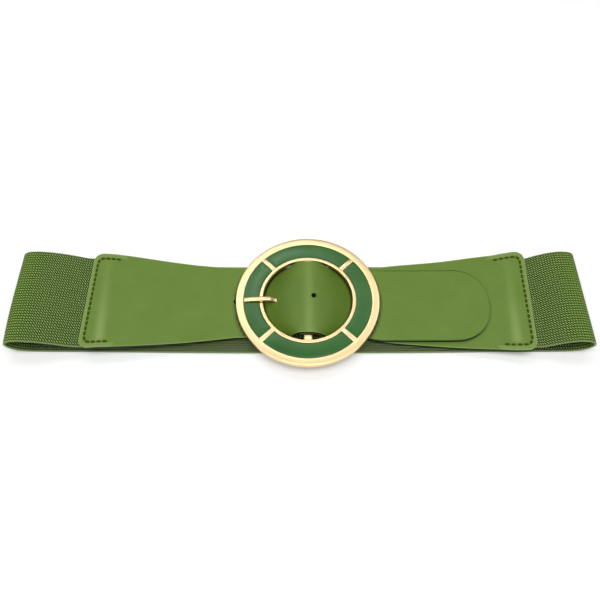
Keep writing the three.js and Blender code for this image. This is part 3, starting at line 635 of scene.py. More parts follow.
@dataclass(frozen=True)
class LeatherFinish:
    """Smooth olive leather with a fine grain and a burnished, inked cut edge, with painted highlights over
    the edge, the elastic's end and the bar, and painted shade and shadow in the ring's hole, round the ring,
    at the tongue's free edge and in the stitch groove.
    """

    name: str = "olive_leather"
    face: Colour = (100, 129, 44)
    deep: Colour = (92, 121, 34)
    # Among these colours, painted light: shade in the ring's hole, highlights on the cut edge, over the
    # elastic's end and over the bar, shadow at the tongue's free edge and round the ring, shade in the stitch
    # groove.
    stretch_and_shade: Colour = (66, 92, 16)
    burnish_and_highlight: Colour = (152, 176, 108)
    painted_highlight: Colour = (150, 172, 98)
    ink_and_shadow: Colour = (30, 46, 10)
    ring_shadow_tone: Colour = (18, 30, 4)
    grain: Colour = (128, 158, 78)
    shaded_groove: Colour = (74, 98, 28)
    cloud_scale: float = 0.05
    grain_scale: float = 1.5
    pore_scale: float = 3.1
    border_from: float = 2.9
    border_to: float = 4.2
    rim_from: float = 0.1
    rim_width: float = 0.55
    ink_and_shadow_width: float = 0.8
    groove_width: float = 0.9
    grain_relief: float = 0.00006
    groove_relief: float = 0.0004

    def build(self) -> bpy.types.Material:
        """Makes the material."""
        g = Graph(self.name)
        u, v = g.flat()
        spot = g.vector(u, v)
        cloud = g.noise(spot, self.cloud_scale, 3.0, 0.55)
        grain = g.value("ShaderNodeTexVoronoi", {"feature": "SMOOTH_F1"},
                        {"Vector": spot, "Scale": self.grain_scale, "Smoothness": 0.6})
        pores = g.noise(spot, self.pore_scale, 3.0, 0.65)
        base = g.colours(self.deep, self.face, (cloud * 1.8 - 0.4).held())
        base = g.colours(base, self.grain, (grain * 0.5 + pores * 0.5 - 0.35).held() * 0.3)
        # Painted highlight where the leather swells over the elastic's end; the share is brighter towards the
        # near edge.
        swell_highlight = g.attribute("swell_highlight")
        base = g.colours(base, self.painted_highlight, swell_highlight * (0.35 + pores * 0.4))
        edge = g.attribute("edge_mm")
        burnish_and_highlight_share = g.attribute("burnish_and_highlight")
        seam = g.attribute("seam_mm")
        border = ((self.border_from - edge) / 0.5).held() * (self.border_to - seam).held()
        rim = (1.0 - (edge - self.rim_from) / self.rim_width).held()
        # Painted shade on the leather in the ring's hole, least on the crest over the bar and deepest down
        # the slopes.
        base = g.colours(base, self.stretch_and_shade, g.attribute("hole_shade") * 0.45)
        # Painted highlight along the crest over the bar.
        base = g.colours(base, self.painted_highlight, g.attribute("crest") * (0.2 + pores * 0.3))
        # Painted shadow of the ring along its inner and outer edges.
        base = g.colours(base, self.ring_shadow_tone, (g.attribute("ring_shadow") * 1.3).held() * 0.92)
        # Burnished border and cut edge; the thin line at the edge is also a painted highlight.
        base = g.colours(base, self.burnish_and_highlight, burnish_and_highlight_share * (border * 0.26 + rim * 0.55))
        # Dark ink round the tongue's free end, deepened as painted shadow.
        base = g.colours(base, self.ink_and_shadow, (1.0 - burnish_and_highlight_share) * (1.0 - edge / self.ink_and_shadow_width).held() * 0.9)
        # Painted shade in the groove along the stitches.
        shaded_groove = (1.0 - seam / self.groove_width).held()
        base = g.colours(base, self.shaded_groove, shaded_groove * 0.45)
        normal = g.bump(grain * 0.6 + pores * 0.4, self.grain_relief, 0.5)
        normal = g.bump(1.0 - shaded_groove, self.groove_relief, 0.7, normal)
        rough = 0.47 + (cloud - 0.5) * 0.12 + (pores - 0.5) * 0.1 - swell_highlight * 0.14
        return g.finish({"Base Color": base, "Roughness": rough, "Normal": normal,
                         "Specular IOR Level": 0.3})


@dataclass(frozen=True)
class CutEdgeFinish:
    """Raw cut edge of the leather, darker green with fibres showing, its darkness partly its own and partly
    painted shade.
    """

    name: str = "cut_edge"
    dark: Colour = (14, 24, 4)
    light: Colour = (52, 70, 18)
    fibre_scale: float = 900.0
    relief: float = 0.0001

    def build(self) -> bpy.types.Material:
        """Makes the material."""
        g = Graph(self.name)
        fibre = g.noise(g.place(), self.fibre_scale, 3.0, 0.7)
        # Dark edge colour: partly the edge's own, partly painted shade.
        base = g.colours(self.dark, self.light, fibre)
        return g.finish({"Base Color": base, "Roughness": 0.66 + fibre * 0.2, "Specular IOR Level": 0.2,
                         "Normal": g.bump(fibre, self.relief, 0.5)})


@dataclass(frozen=True)
class ThreadFinish:
    """Dark green sewing thread with a fine twist."""

    name: str = "dark_thread"
    dark: Colour = (48, 58, 0)
    light: Colour = (82, 94, 2)
    twist_scale: float = 1600.0
    relief: float = 0.00008

    def build(self) -> bpy.types.Material:
        """Makes the material."""
        g = Graph(self.name)
        twist = g.noise(g.place(), self.twist_scale, 1.0)
        base = g.colours(self.dark, self.light, twist)
        return g.finish({"Base Color": base, "Roughness": 0.66 + twist * 0.15, "Specular IOR Level": 0.15,
                         "Normal": g.bump(twist, self.relief, 0.6)})


@dataclass(frozen=True)
class GoldFinish:
    """Pale gold plating, polished, with faint hairlines and wear."""

    name: str = "pale_gold"
    worn: Colour = (238, 208, 152)
    bright: Colour = (252, 228, 178)
    wave_scale: float = 60.0
    hair_scale: float = 1100.0
    relief: float = 0.00003

    def build(self) -> bpy.types.Material:
        """Makes the material."""
        g = Graph(self.name)
        spot = g.place()
        wave = g.noise(spot, self.wave_scale, 3.0, 0.6)
        hair = g.noise(spot, self.hair_scale, 2.0, 0.7)
        base = g.colours(self.worn, self.bright, (wave * 0.9 + hair * 0.9 - 0.4).held())
        rough = 0.22 + wave * 0.08 + hair * 0.1
        return g.finish({"Base Color": base, "Metallic": 1.0, "Roughness": rough,
                         "Normal": g.bump(hair, self.relief, 0.4)})


@dataclass(frozen=True)
class EnamelFinish:
    """Glossy green enamel with slow clouds of tone."""

    name: str = "green_enamel"
    deep: Colour = (36, 88, 28)
    clear: Colour = (54, 108, 44)
    shadow: Colour = (14, 34, 8)
    shadow_width: float = 0.55
    cloud_scale: float = 55.0
    speck_scale: float = 700.0
    relief: float = 0.0002

    def build(self) -> bpy.types.Material:
        """Makes the material."""
        g = Graph(self.name)
        spot = g.place()
        cloud = g.noise(spot, self.cloud_scale, 3.0, 0.5)
        speck = g.noise(spot, self.speck_scale, 2.0, 0.6)
        base = g.colours(self.deep, self.clear, (cloud * 1.5 - 0.25).held())
        rim = (1.0 - g.attribute("rim_mm") / self.shadow_width).held()
        base = g.colours(base, self.shadow, rim * 0.8)
        normal = g.bump(cloud, self.relief, 0.25)
        return g.finish({"Base Color": base, "Roughness": 0.2 + speck * 0.06, "Normal": normal,
                         "Specular IOR Level": 0.4})


@dataclass(frozen=True)
class TableFinish:
    """Plain pale table."""

    name: str = "pale_table"
    grey: float = 0.93
    glow: float = 0.09

    def build(self) -> bpy.types.Material:
        """Makes the material."""
        g = Graph(self.name)
        return g.finish({"Base Color": (self.grey, self.grey, self.grey, 1.0), "Roughness": 0.9,
                         "Specular IOR Level": 0.1, "Emission Color": WHITE, "Emission Strength": self.glow})


class Finish(Enum):
    """The finishes of the scene."""

    ELASTIC = ElasticFinish()
    LEATHER = LeatherFinish()
    CUT_EDGE = CutEdgeFinish()
    THREAD = ThreadFinish()
    GOLD = GoldFinish()
    ENAMEL = EnamelFinish()
    TABLE = TableFinish()

    @property
    def material(self) -> bpy.types.Material:
        """The finish's material, made once."""
        found = bpy.data.materials.get(self.value.name)
        return found if found else self.value.build()


# Modelling steps

LEATHER_ANGLE = 50
STRIP_EDGE_ANGLE = 55
MERGE_DISTANCE = 0.00001


def clear_selection() -> None:
    """Deselects everything, outside edit mode."""
    if bpy.context.object and bpy.context.object.mode != "OBJECT":
        bpy.ops.object.mode_set(mode="OBJECT")
    bpy.ops.object.select_all(action="DESELECT")


def select_only(piece: Piece) -> None:
    """Selects one piece and makes it active."""
    clear_selection()
    piece.select_set(True)
    bpy.context.view_layer.objects.active = piece


def apply_modifier(piece: Piece, kind: str, **settings: object) -> None:
    """Adds a modifier with its settings and applies it."""
    select_only(piece)
    modifier = piece.modifiers.new(kind.lower(), kind)
    for key, value in settings.items():
        setattr(modifier, key, value)
    bpy.ops.object.modifier_apply(modifier=modifier.name)


def bevel(piece: Piece, width: float, segments: int, degrees: float) -> None:
    """Rounds the edges sharper than an angle by a width in millimetres."""
    apply_modifier(piece, "BEVEL", width=width * MM, segments=segments, limit_method="ANGLE",
                   angle_limit=math.radians(degrees))


@contextmanager
def editing(piece: Piece) -> Iterator[None]:
    """Keeps a piece in edit mode for the steps inside, all of it selected at first."""
    select_only(piece)
    bpy.ops.object.mode_set(mode="EDIT")
    bpy.ops.mesh.select_all(action="SELECT")
    yield
    bpy.ops.object.mode_set(mode="OBJECT")


def start_piece(name: str, add: Callable[..., object], **settings: object) -> Piece:
    """Adds a primitive with its settings, selected alone, and names it.

    Args:
        name: The piece's name.
        add: The operator that adds the primitive.
        settings: The operator's settings.

    Returns:
        The new piece.
    """
    clear_selection()
    add(**settings)
    piece = bpy.context.object
    piece.name = name
    return piece


def settle(piece: Piece) -> None:
    """Applies a piece's place, turn and scale to its mesh."""
    select_only(piece)
    bpy.ops.object.transform_apply(location=True, rotation=True, scale=True)


def smooth_by_angle(piece: Piece, degrees: float) -> None:
    """Shades a piece smooth up to an angle."""
    select_only(piece)
    bpy.ops.object.shade_smooth_by_angle(angle=math.radians(degrees))


def join(pieces: Sequence[Piece], name: str) -> Piece:
    """Joins pieces into the first one and names it."""
    clear_selection()
    for piece in pieces:
        piece.select_set(True)
    bpy.context.view_layer.objects.active = pieces[0]
    if len(pieces) > 1:
        bpy.ops.object.join()
    pieces[0].name = name
    pieces[0].data.name = name
    return pieces[0]


def dress(piece: Piece, finish: Finish) -> None:
    """Gives the whole of a piece one finish."""
    piece.data.materials.clear()
    piece.data.materials.append(finish.material)


def cut_out(piece: Piece, cutters: Sequence[Piece]) -> None:
    """Cuts the shapes of the cutters out of a piece and removes them."""
    for cutter in cutters:
        settle(cutter)
        apply_modifier(piece, "BOOLEAN", operation="DIFFERENCE", solver="EXACT", object=cutter)
        bpy.data.objects.remove(cutter, do_unlink=True)
    smooth_by_angle(piece, LEATHER_ANGLE)


def hand_over(piece: Piece, nodes: Sequence[str] = ()) -> None:
    """Rides a finished piece on the belt and says what it replaces."""
    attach(piece, "root")
    if nodes:
        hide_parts(*nodes)


def squared(turn: float, power: float) -> Tuple[float, float]:
    """Point of a round at an angle, drawn out towards a square by a power under 1."""
    across, up = math.cos(turn), math.sin(turn)
    return math.copysign(abs(across) ** power, across), math.copysign(abs(up) ** power, up)


def bell(distance: Array, width: float) -> Array:
    """Share from 0 to 1 that is highest at distance 0 and fades over a width."""
    return np.exp(-(distance / width) ** 2)


def across_places(count: int, crowding: float) -> Array:
    """Places across a strip from -1 to 1, closer together at its edges."""
    v = np.linspace(-1, 1, count)
    return np.sign(v) * (1 - (1 - np.abs(v)) ** crowding)


@dataclass
class Strip:
    """A flat strip laid out as a grid, then bent into place and thickened.

    The grid's columns run along the strip and its rows across it. points holds X, Y and Z in
    millimetres of the strip's underside or middle, flat the unrolled place, marks the numbers
    that its finish reads, gauge the thickness at each point.
    """

    name: str
    points: Array
    flat: Array
    marks: Dict[str, Array]
    gauge: Array
    offset: float
    rim: Finish
    face: Finish
    rounding: float = 0.4

    def build(self) -> Piece:
        """Makes the strip's mesh.

        Returns:
            The finished piece.
        """
        along, across = self.points.shape[:2]
        piece = start_piece(self.name, bpy.ops.mesh.primitive_grid_add, x_subdivisions=along - 1,
                            y_subdivisions=across - 1, size=1)
        mesh = piece.data
        mesh.name = self.name
        places = np.empty(len(mesh.vertices) * 3)
        mesh.vertices.foreach_get("co", places)
        places = places.reshape(-1, 3)
        i = np.rint((places[:, 0] + 0.5) * (along - 1)).astype(int)
        j = np.rint((places[:, 1] + 0.5) * (across - 1)).astype(int)
        mesh.vertices.foreach_set("co", (self.points[i, j] * MM).ravel())
        for key, values in self.marks.items():
            attribute = mesh.attributes.new(key, "FLOAT", "POINT")
            attribute.data.foreach_set("value", values[i, j].astype(np.float32))
        layer = mesh.uv_layers[0] if mesh.uv_layers else mesh.uv_layers.new()
        layer.name = "flat"
        loops = np.empty(len(mesh.loops), dtype=np.int32)
        mesh.loops.foreach_get("vertex_index", loops)
        layer.data.foreach_set("uv", (self.flat[i, j][loops] * MM).ravel())
        mesh.materials.append(self.face.material)
        mesh.materials.append(self.rim.material)
        mesh.update()
        thickest = float(self.gauge.max())
        group = piece.vertex_groups.new(name="gauge")
        shares = self.gauge[i, j] / thickest
        for share in np.unique(shares.round(4)):
            group.add(np.flatnonzero(shares.round(4) == share).tolist(), float(share), "REPLACE")
        apply_modifier(piece, "SOLIDIFY", thickness=thickest * MM, offset=self.offset, vertex_group="gauge",
                       use_even_offset=False, material_offset_rim=1, use_rim=True)
        piece.vertex_groups.clear()
        bevel(piece, self.rounding, segments=2, degrees=STRIP_EDGE_ANGLE)
        smooth_by_angle(piece, LEATHER_ANGLE)
        return piece


def outline_distance(plan: Array, outline: Array) -> Array:
    """Distance of each point of a plan from an outline.

    Args:
        plan: Grid of X and Y.
        outline: Points of the outline, close together.

    Returns:
        The distances, in the same grid.
    """
    best = np.full(plan.shape[:2], np.inf)
    for x, y in outline:
        best = np.minimum(best, np.hypot(plan[:, :, 0] - x, plan[:, :, 1] - y))
    return best


def arc_length(x: Array, z: Array) -> Array:
    """Length along a line from its first point."""
    return np.concatenate([[0.0], np.cumsum(np.hypot(np.diff(x), np.diff(z)))])


# The pieces

@dataclass
class ElasticBand:
    """The woven elastic, one folded sheet from panel to panel."""

    s: BeltSizes = field(default_factory=BeltSizes)
    form: StrapForm = field(default_factory=StrapForm)
    rows_across: int = 27
    crowding: float = 1.25
    fold_from: float = 1.3
    fold_span: float = 1.1
    rounding: float = 0.45

    def build(self) -> Piece:
        """Makes the band.

        Returns:
            The finished piece.
        """
        s = self.s
        path = band_path(s, self.form)
        x, z = path[:, 0], path[:, 1]
        length = arc_length(x, z)
        half_t = s.band_thickness / 2
        low = np.clip(1 - (z - half_t) / (s.fold_height / 2), 0, 1)
        middle = -s.band_bow * low * (1 - (x / (s.belt_length / 2)) ** 2)
        fold_length = FOLD_END[-1][0] * s.fold_height
        fold_start = s.belt_length / 2 - half_t - fold_length
        near = np.clip((-x - fold_start) / fold_length, 0, 1)
        tuck = s.near_tuck * near * near
        v = across_places(self.rows_across, self.crowding)
        half = s.band_width / 2 - s.back_waist * low * (1 - (x / (s.belt_length / 2)) ** 4)
        near_lift = s.near_lift * smooth((fold_start - np.abs(x)) / s.near_rise)
        far_lift = s.far_lift * smooth(np.abs(x) / s.far_rise)
        lifts = low[:, None] * mix(near_lift[:, None], far_lift[:, None], (1 + v) / 2)
        points = np.dstack([x[:, None] + tuck[:, None] * np.maximum(0, -v) ** 2,
                            middle[:, None] + half[:, None] * v, z[:, None] + lifts])
        fold_mark = s.belt_length / 2 - self.fold_from * s.fold_height
        turn = smooth((np.abs(x) - fold_mark) / (self.fold_span * s.fold_height))
        all_along, all_across = np.ones(len(x)), np.ones(len(v))
        flat = np.dstack([np.outer(length, all_across), np.outer(all_along, v * s.band_width / 2)])
        marks = {"edge_mm": np.outer(all_along, (1 - np.abs(v)) * s.band_width / 2),
                 # inside: share towards the back run, where the finish paints shade.
                 "inside": np.outer(low, all_across),
                 "fold": np.outer(turn, all_across)}
        gauge = np.full(points.shape[:2], s.band_thickness)
        piece = Strip("elastic_webbing", points, flat, marks, gauge, offset=0.0, rim=Finish.ELASTIC,
                      face=Finish.ELASTIC, rounding=self.rounding).build()
        hand_over(piece, ["elastic_band"])
        LOG.info("elastic flat length %.1f mm", length[-1])
        return piece


@dataclass
class SewnLine:
    """The row of stitches that holds the elastic's end under a panel."""

    s: BeltSizes = field(default_factory=BeltSizes)
    form: StrapForm = field(default_factory=StrapForm)
    end_inset: float = 2.7
    side_inset: float = 3.5
    arm: float = 10.6
    corner: float = 3.2
    pitch: float = 3.3
    stitch_length: float = 2.3
    stitch_width: float = 1.35
    stitch_rounding: float = 0.18
    dip: float = 0.3
    stand: float = 0.1
    spacing: float = 0.1

    def path(self, end_x: float, inward: int, far: Rows, near: Rows, skew: float) -> Array:
        """The line in plan.

        Args:
            end_x: X of the panel's end.
            inward: 1 if the panel runs to the right of its end, else -1.
            far: Table of the panel's spread towards its far edge.
            near: Table of the panel's spread towards its near edge.
            skew: Shift along X of the panel's far corner.

        Returns:
            Points a short spacing apart, X and Y.
        """
        x0 = end_x + inward * self.end_inset
        xs = x0 + inward * np.linspace(self.corner + self.arm, self.corner, 12)
        top = self.form.panel_half(far, xs) - self.side_inset
        bottom = self.side_inset - self.form.panel_half(near, xs)
        angles = np.linspace(0, math.pi / 2, 9)[1:]
        turn_x = x0 + inward * self.corner * (1 - np.sin(angles))
        drop = self.corner * (1 - np.cos(angles))
        line = np.vstack([
            np.column_stack([xs, top]), np.column_stack([turn_x, top[-1] - drop]),
            np.column_stack([turn_x, bottom[-1] + drop])[::-1], np.column_stack([xs, bottom])[::-1],
        ])
        line[:, 0] += skew * line[:, 1] / (self.s.panel_width / 2)
        run = arc_length(line[:, 0], line[:, 1])
        at = np.arange(0, run[-1], self.spacing)
        return np.column_stack([np.interp(at, run, line[:, 0]), np.interp(at, run, line[:, 1])])

    def stitch(self) -> Piece:
        """One stitch along X at the origin: a rounded thread whose ends dip."""
        piece = start_piece("stitch", bpy.ops.mesh.primitive_cylinder_add, vertices=8,
                            radius=self.stitch_width / 2 * MM, depth=self.stitch_length * MM,
                            end_fill_type="NGON", rotation=(0, math.pi / 2, 0))
        settle(piece)
        with editing(piece):
            bpy.ops.mesh.bisect(plane_co=(0, 0, 0), plane_no=(1, 0, 0))
        bevel(piece, self.stitch_rounding, segments=1, degrees=50)
        for vertex in piece.data.vertices:
            share = abs(vertex.co.x) / (self.stitch_length / 2 * MM)
            vertex.co.z -= self.dip * MM * share ** 2
        return piece

    def sew(self, name: str, line: Array, under: HeightField) -> Piece:
        """Lays the stitches along the line on a strap.

        Args:
            name: Name of the joined piece.
            line: The line in plan.
            under: The strap's underside.

        Returns:
            The joined stitches.
        """
        model = self.stitch()
        run = arc_length(line[:, 0], line[:, 1])
        count = int(round(run[-1] / self.pitch))
        copies: List[Piece] = []
        for k in range(count):
            middle = (k + 0.5) * run[-1] / count
            ends = [middle - self.stitch_length / 2, middle + self.stitch_length / 2]
            x = np.interp(ends, run, line[:, 0])
            y = np.interp(ends, run, line[:, 1])
            z = height_over(under, x, y, self.form.thickness(x))
            a, b = Vector((x[0], y[0], z[0])), Vector((x[1], y[1], z[1]))
            turn = (b - a).to_track_quat("X", "Z")
            copy = model.copy()
            copy.data = model.data.copy()
            bpy.context.collection.objects.link(copy)
            place = ((a + b) / 2 + Vector((0, 0, self.stand))) * MM
            copy.matrix_world = Matrix.Translation(place) @ turn.to_matrix().to_4x4()
            copies.append(copy)
        bpy.data.objects.remove(model, do_unlink=True)
        for copy in copies:
            settle(copy)
        piece = join(copies, name)
        dress(piece, Finish.THREAD)
        smooth_by_angle(piece, degrees=60)
        return piece


@dataclass
class LeatherStraps:
    """Both leather straps with their panels, holes and stitching."""

    s: BeltSizes = field(default_factory=BeltSizes)
    form: StrapForm = field(default_factory=StrapForm)
    rows_across: int = 41
    crowding: float = 1.35
    step: float = 1.5
    corner_columns: int = 9
    tip_columns: int = 21
    wrap_columns: int = 17
    tail_columns: int = 13
    end_points: int = 60
    right_arm: float = 12.4
    swell_middle: float = 10.0
    swell_slant: float = 0.05
    swell_width: float = 2.5
    swell_inset: float = 3.0
    swell_fade: float = 5.0
    far_swell: float = 0.2
    swell_power: float = 1.8
    hole_shade_from: float = 0.6
    hole_shade_to: float = 1.25
    hole_shade_fade: float = 6.0
    least_hole_shade: float = 0.25
    inner_shadow_inset: float = 0.2
    inner_shadow_width: float = 1.2
    outer_shadow_inset: float = 0.1
    outer_shadow_width: float = 0.9
    outer_shadow_share: float = 0.8
    crest_shift: float = 0.6
    crest_width: float = 2.6
    crest_reach: float = 50.0
    far_crest: float = 0.6
    cutter_depth: float = 40.0

    def lines(self, start: float, end: float, corner: float) -> Array:
        """X of the grid's columns, closer together at a rounded end at start."""
        sign = 1.0 if end > start else -1.0
        close = start + sign * corner * (1 - np.cos(np.linspace(0, math.pi / 2, self.corner_columns)))
        rest = np.linspace(close[-1], end, int(abs(end - close[-1]) / self.step))
        return np.concatenate([close, rest[1:]])

    def marks(self, grid: Array, line: Array, burnish_and_highlight: Array) -> Dict[str, Array]:
        """The numbers that the leather's finish reads.

        Args:
            grid: X, Y and Z of the strap's points, the panel's end first.
            line: The sewn line in plan.
            burnish_and_highlight: How light the cut edge is polished, with a painted highlight on it, 0 to 1.

        Returns:
            Distances from the edge and the seam, and shares of the burnished edge with its painted highlight,
            painted shadow of the ring, painted highlight over the bar, painted shade in the ring's hole and
            painted highlight over the elastic's end.
        """
        s = self.s
        plan = grid[:, :, :2]
        gx, gy = grid[:, :, 0], grid[:, :, 1]
        shares = np.linspace(0, 1, self.end_points)[:, None]
        outline = np.vstack([plan[:, 0], plan[:, -1], mix(plan[0, 0], plan[0, -1], shares)])
        off_end = np.abs(gx - gx[0, self.rows_across // 2])
        off_bar = np.abs(gx - s.bar_x)
        from_middle = np.hypot(gx - s.bar_x, gy)
        # Painted shade in the ring's hole, least over the bar, deeper down the slopes towards the rims.
        in_hole = smooth((self.hole_shade_to * s.hole_radius - off_bar) / self.hole_shade_fade)
        hole_shade = in_hole * mix(self.least_hole_shade, 1.0, smooth(off_bar / (self.hole_shade_from * s.hole_radius)))
        # Painted shadow of the ring: a band just inside its hole and a fainter one along its outer edge.
        inner_ring_shadow = bell(from_middle - s.hole_radius + self.inner_shadow_inset, self.inner_shadow_width)
        outer_ring_shadow = bell(from_middle - s.ring_radius - self.outer_shadow_inset, self.outer_shadow_width)
        # Painted highlights along the crest over the bar and over the elastic's end, both brighter towards
        # the near edge.
        crest = bell(gx - s.bar_x - self.crest_shift, self.crest_width)
        swell_highlight = bell(off_end - self.swell_middle + self.swell_slant * gy, self.swell_width)
        nearness = smooth(0.5 - gy / s.panel_width) ** self.swell_power
        off_edge = smooth((s.panel_width / 2 - self.swell_inset - np.abs(gy)) / self.swell_fade)
        return {"edge_mm": outline_distance(plan, outline),
                "seam_mm": outline_distance(plan, line[::4]),
                "burnish_and_highlight": burnish_and_highlight,
                "ring_shadow": np.maximum(inner_ring_shadow, outer_ring_shadow * self.outer_shadow_share),
                "crest": crest * mix(self.far_crest, 1.0, smooth(0.5 - gy / self.crest_reach)),
                "hole_shade": hole_shade,
                "swell_highlight": swell_highlight * mix(self.far_swell, 1.0, nearness) * off_edge}

    def laid(self, name: str, grid: Array, marks: Dict[str, Array], gauge: Array, offset: float) -> Piece:
        """Makes a strap's leather.

        Args:
            name: The piece's name.
            grid: X, Y and Z of its points.
            marks: The numbers that its finish reads.
            gauge: The thickness at each point.
            offset: 1 if the wall grows up from the points, -1 if it grows down.

        Returns:
            The leather, before its holes.
        """
        middle = grid[:, self.rows_across // 2]
        length = arc_length(middle[:, 0], middle[:, 2])
        flat = np.dstack([np.outer(length, np.ones(self.rows_across)), grid[:, :, 1]])
        return Strip(name, grid, flat, marks, gauge, offset, rim=Finish.CUT_EDGE, face=Finish.LEATHER).build()

    def tongue(self) -> List[Piece]:
        """Makes the tongue strap with its holes and its panel's stitching.

        Returns:
            The strap and the stitching.
        """
        s, form = self.s, self.form
        left, tip = s.bar_x - s.left_reach, s.bar_x + s.tongue_reach
        main = self.lines(left, tip - s.tongue_tip, s.panel_corner)
        round_end = np.sin(np.linspace(0, math.pi / 2, self.tip_columns + 1))[1:]
        x = np.concatenate([main, tip - s.tongue_tip + s.tongue_tip * round_end])
        v = across_places(self.rows_across, self.crowding)
        gx = np.outer(x, np.ones(len(v)))
        gy = form.tongue_middle(x)[:, None] + form.tongue_half(x)[:, None] * v
        grid = np.dstack([gx, gy, form.tongue_under(gx, gy)])
        sewn = SewnLine(s, form)
        line = sewn.path(left, 1, LEFT_FAR_SPREAD, LEFT_NEAR_SPREAD, 0.0)
        # 1 where the cut edge is burnished and given a painted highlight, fading to 0 towards the free end,
        # where dark ink and painted shadow take over.
        burnish_and_highlight = 1 - smooth((gx - s.bar_x - s.hole_radius) / s.hole_radius)
        gauge = np.where(gx < s.bar_x, form.thickness(gx), s.strap_thickness)
        piece = self.laid("tongue_leather", grid, self.marks(grid, line, burnish_and_highlight), gauge, 1.0)
        self.punch(piece)
        hand_over(piece, ["tongue_strap"])
        stitching = sewn.sew("stitching_left", line, form.tongue_under)
        hand_over(stitching)
        return [piece, stitching]

    def punch(self, piece: Piece) -> None:
        """Cuts the two free holes and the slanted passage of the prong."""
        s = self.s
        cutters: List[Piece] = []
        for step in (-1, 1):
            x = s.bar_x - s.prong_hole_reach + step * s.hole_pitch
            y = float(self.form.tongue_middle(np.array(x)))
            cutters.append(start_piece("hole_cutter", bpy.ops.mesh.primitive_cylinder_add, vertices=24,
                                       radius=s.hole_diameter / 2 * MM, depth=self.cutter_depth * MM,
                                       location=(x * MM, y * MM, 0)))
        cutters.append(Buckle(s).shaft("prong_cutter", s.prong_clearance))
        cut_out(piece, cutters)

    def wrapped_tail(self, v: Array) -> Array:
        """The end that wraps the bar and turns back under the strap.

        Args:
            v: Places across the strap, from -1 to 1.

        Returns:
            Grid of X, Y and Z.
        """
        s = self.s
        turn = s.bar_height / 2 + s.gap
        turn_x = s.bar_x - (s.bar_width - s.bar_height) / 2
        angles = np.linspace(math.pi / 2, 1.5 * math.pi, self.wrap_columns)
        share = np.linspace(0, 1, self.tail_columns + 1)[1:]
        x = np.concatenate([turn_x + turn * np.cos(angles), mix(turn_x, s.bar_x + s.turn_back, share)])
        z = np.concatenate([s.bar_middle + turn * np.sin(angles),
                            s.bar_middle - turn - s.turn_back_drop * share ** 2])
        narrowing = np.concatenate([np.zeros(len(angles)), np.minimum(1, share * s.turn_back_taper)])
        half = mix(s.strap_width / 2, s.turn_back_width / 2, narrowing)
        all_across = np.ones(len(v))
        return np.dstack([np.outer(x, all_across), np.outer(half, v), np.outer(z, all_across)])

    def buckle(self) -> List[Piece]:
        """Makes the buckle strap, wrapped round the bar, with the prong's slot and its panel's stitching.

        Returns:
            The strap and the stitching.
        """
        s, form = self.s, self.form
        x = self.lines(s.bar_x + s.right_reach, s.bar_x, s.panel_corner)
        v = across_places(self.rows_across, self.crowding)
        gx = x[:, None] + form.buckle_skew(x)[:, None] * v
        gy = form.buckle_middle(x)[:, None] + form.buckle_half(x)[:, None] * v
        top = np.dstack([gx, gy, form.buckle_under(gx, gy)])
        tail = self.wrapped_tail(v)
        sewn = SewnLine(s, form, arm=self.right_arm)
        line = sewn.path(x[0], -1, RIGHT_FAR_SPREAD, RIGHT_NEAR_SPREAD, s.panel_skew)
        marks = {key: np.vstack([values, np.repeat(values[-1:], len(tail), axis=0)])
                 for key, values in self.marks(top, line, np.ones(gx.shape)).items()}
        gauge = np.vstack([form.thickness(gx), np.full(tail.shape[:2], s.strap_thickness)])
        piece = self.laid("buckle_leather", np.concatenate([top, tail]), marks, gauge, -1.0)
        self.slot_for_prong(piece)
        hand_over(piece, ["buckle_strap"])
        stitching = sewn.sew("stitching_right", line, form.buckle_under)
        hand_over(stitching)
        return [piece, stitching]

    def slot_for_prong(self, piece: Piece) -> None:
        """Cuts the slot that lets the prong's eye through the wrapped leather."""
        s = self.s
        half = s.bar_width / 2 + s.gap + s.prong_loop + s.prong_clearance
        reach = 2 * half + s.strap_thickness
        place = ((s.bar_x + half - reach / 2) * MM, 0, s.bar_middle * MM)
        size = (reach * MM, (s.prong_width + 4 * s.prong_clearance) * MM, 4 * s.ring_thickness * MM)
        cut_out(piece, [start_piece("slot_cutter", bpy.ops.mesh.primitive_cube_add, size=1, location=place,
                                    scale=size)])


# Share of the reach to the outer rim, share of the rise, shares of the width and height
PRONG_RUN: Sequence[Tuple[float, float, float, float]] = (
    (0.080, 0.00, 1.00, 1.00), (0.200, 0.03, 1.00, 1.00), (0.400, 0.08, 1.00, 1.00),
    (0.500, 0.25, 1.00, 1.00), (0.555, 0.68, 1.00, 1.00), (0.600, 0.93, 1.00, 1.00),
    (0.660, 1.00, 1.00, 1.00), (0.880, 1.00, 1.00, 0.95), (0.910, 0.93, 1.02, 0.72),
    (0.985, 0.90, 0.98, 0.60), (0.996, 0.90, 0.80, 0.40),
)


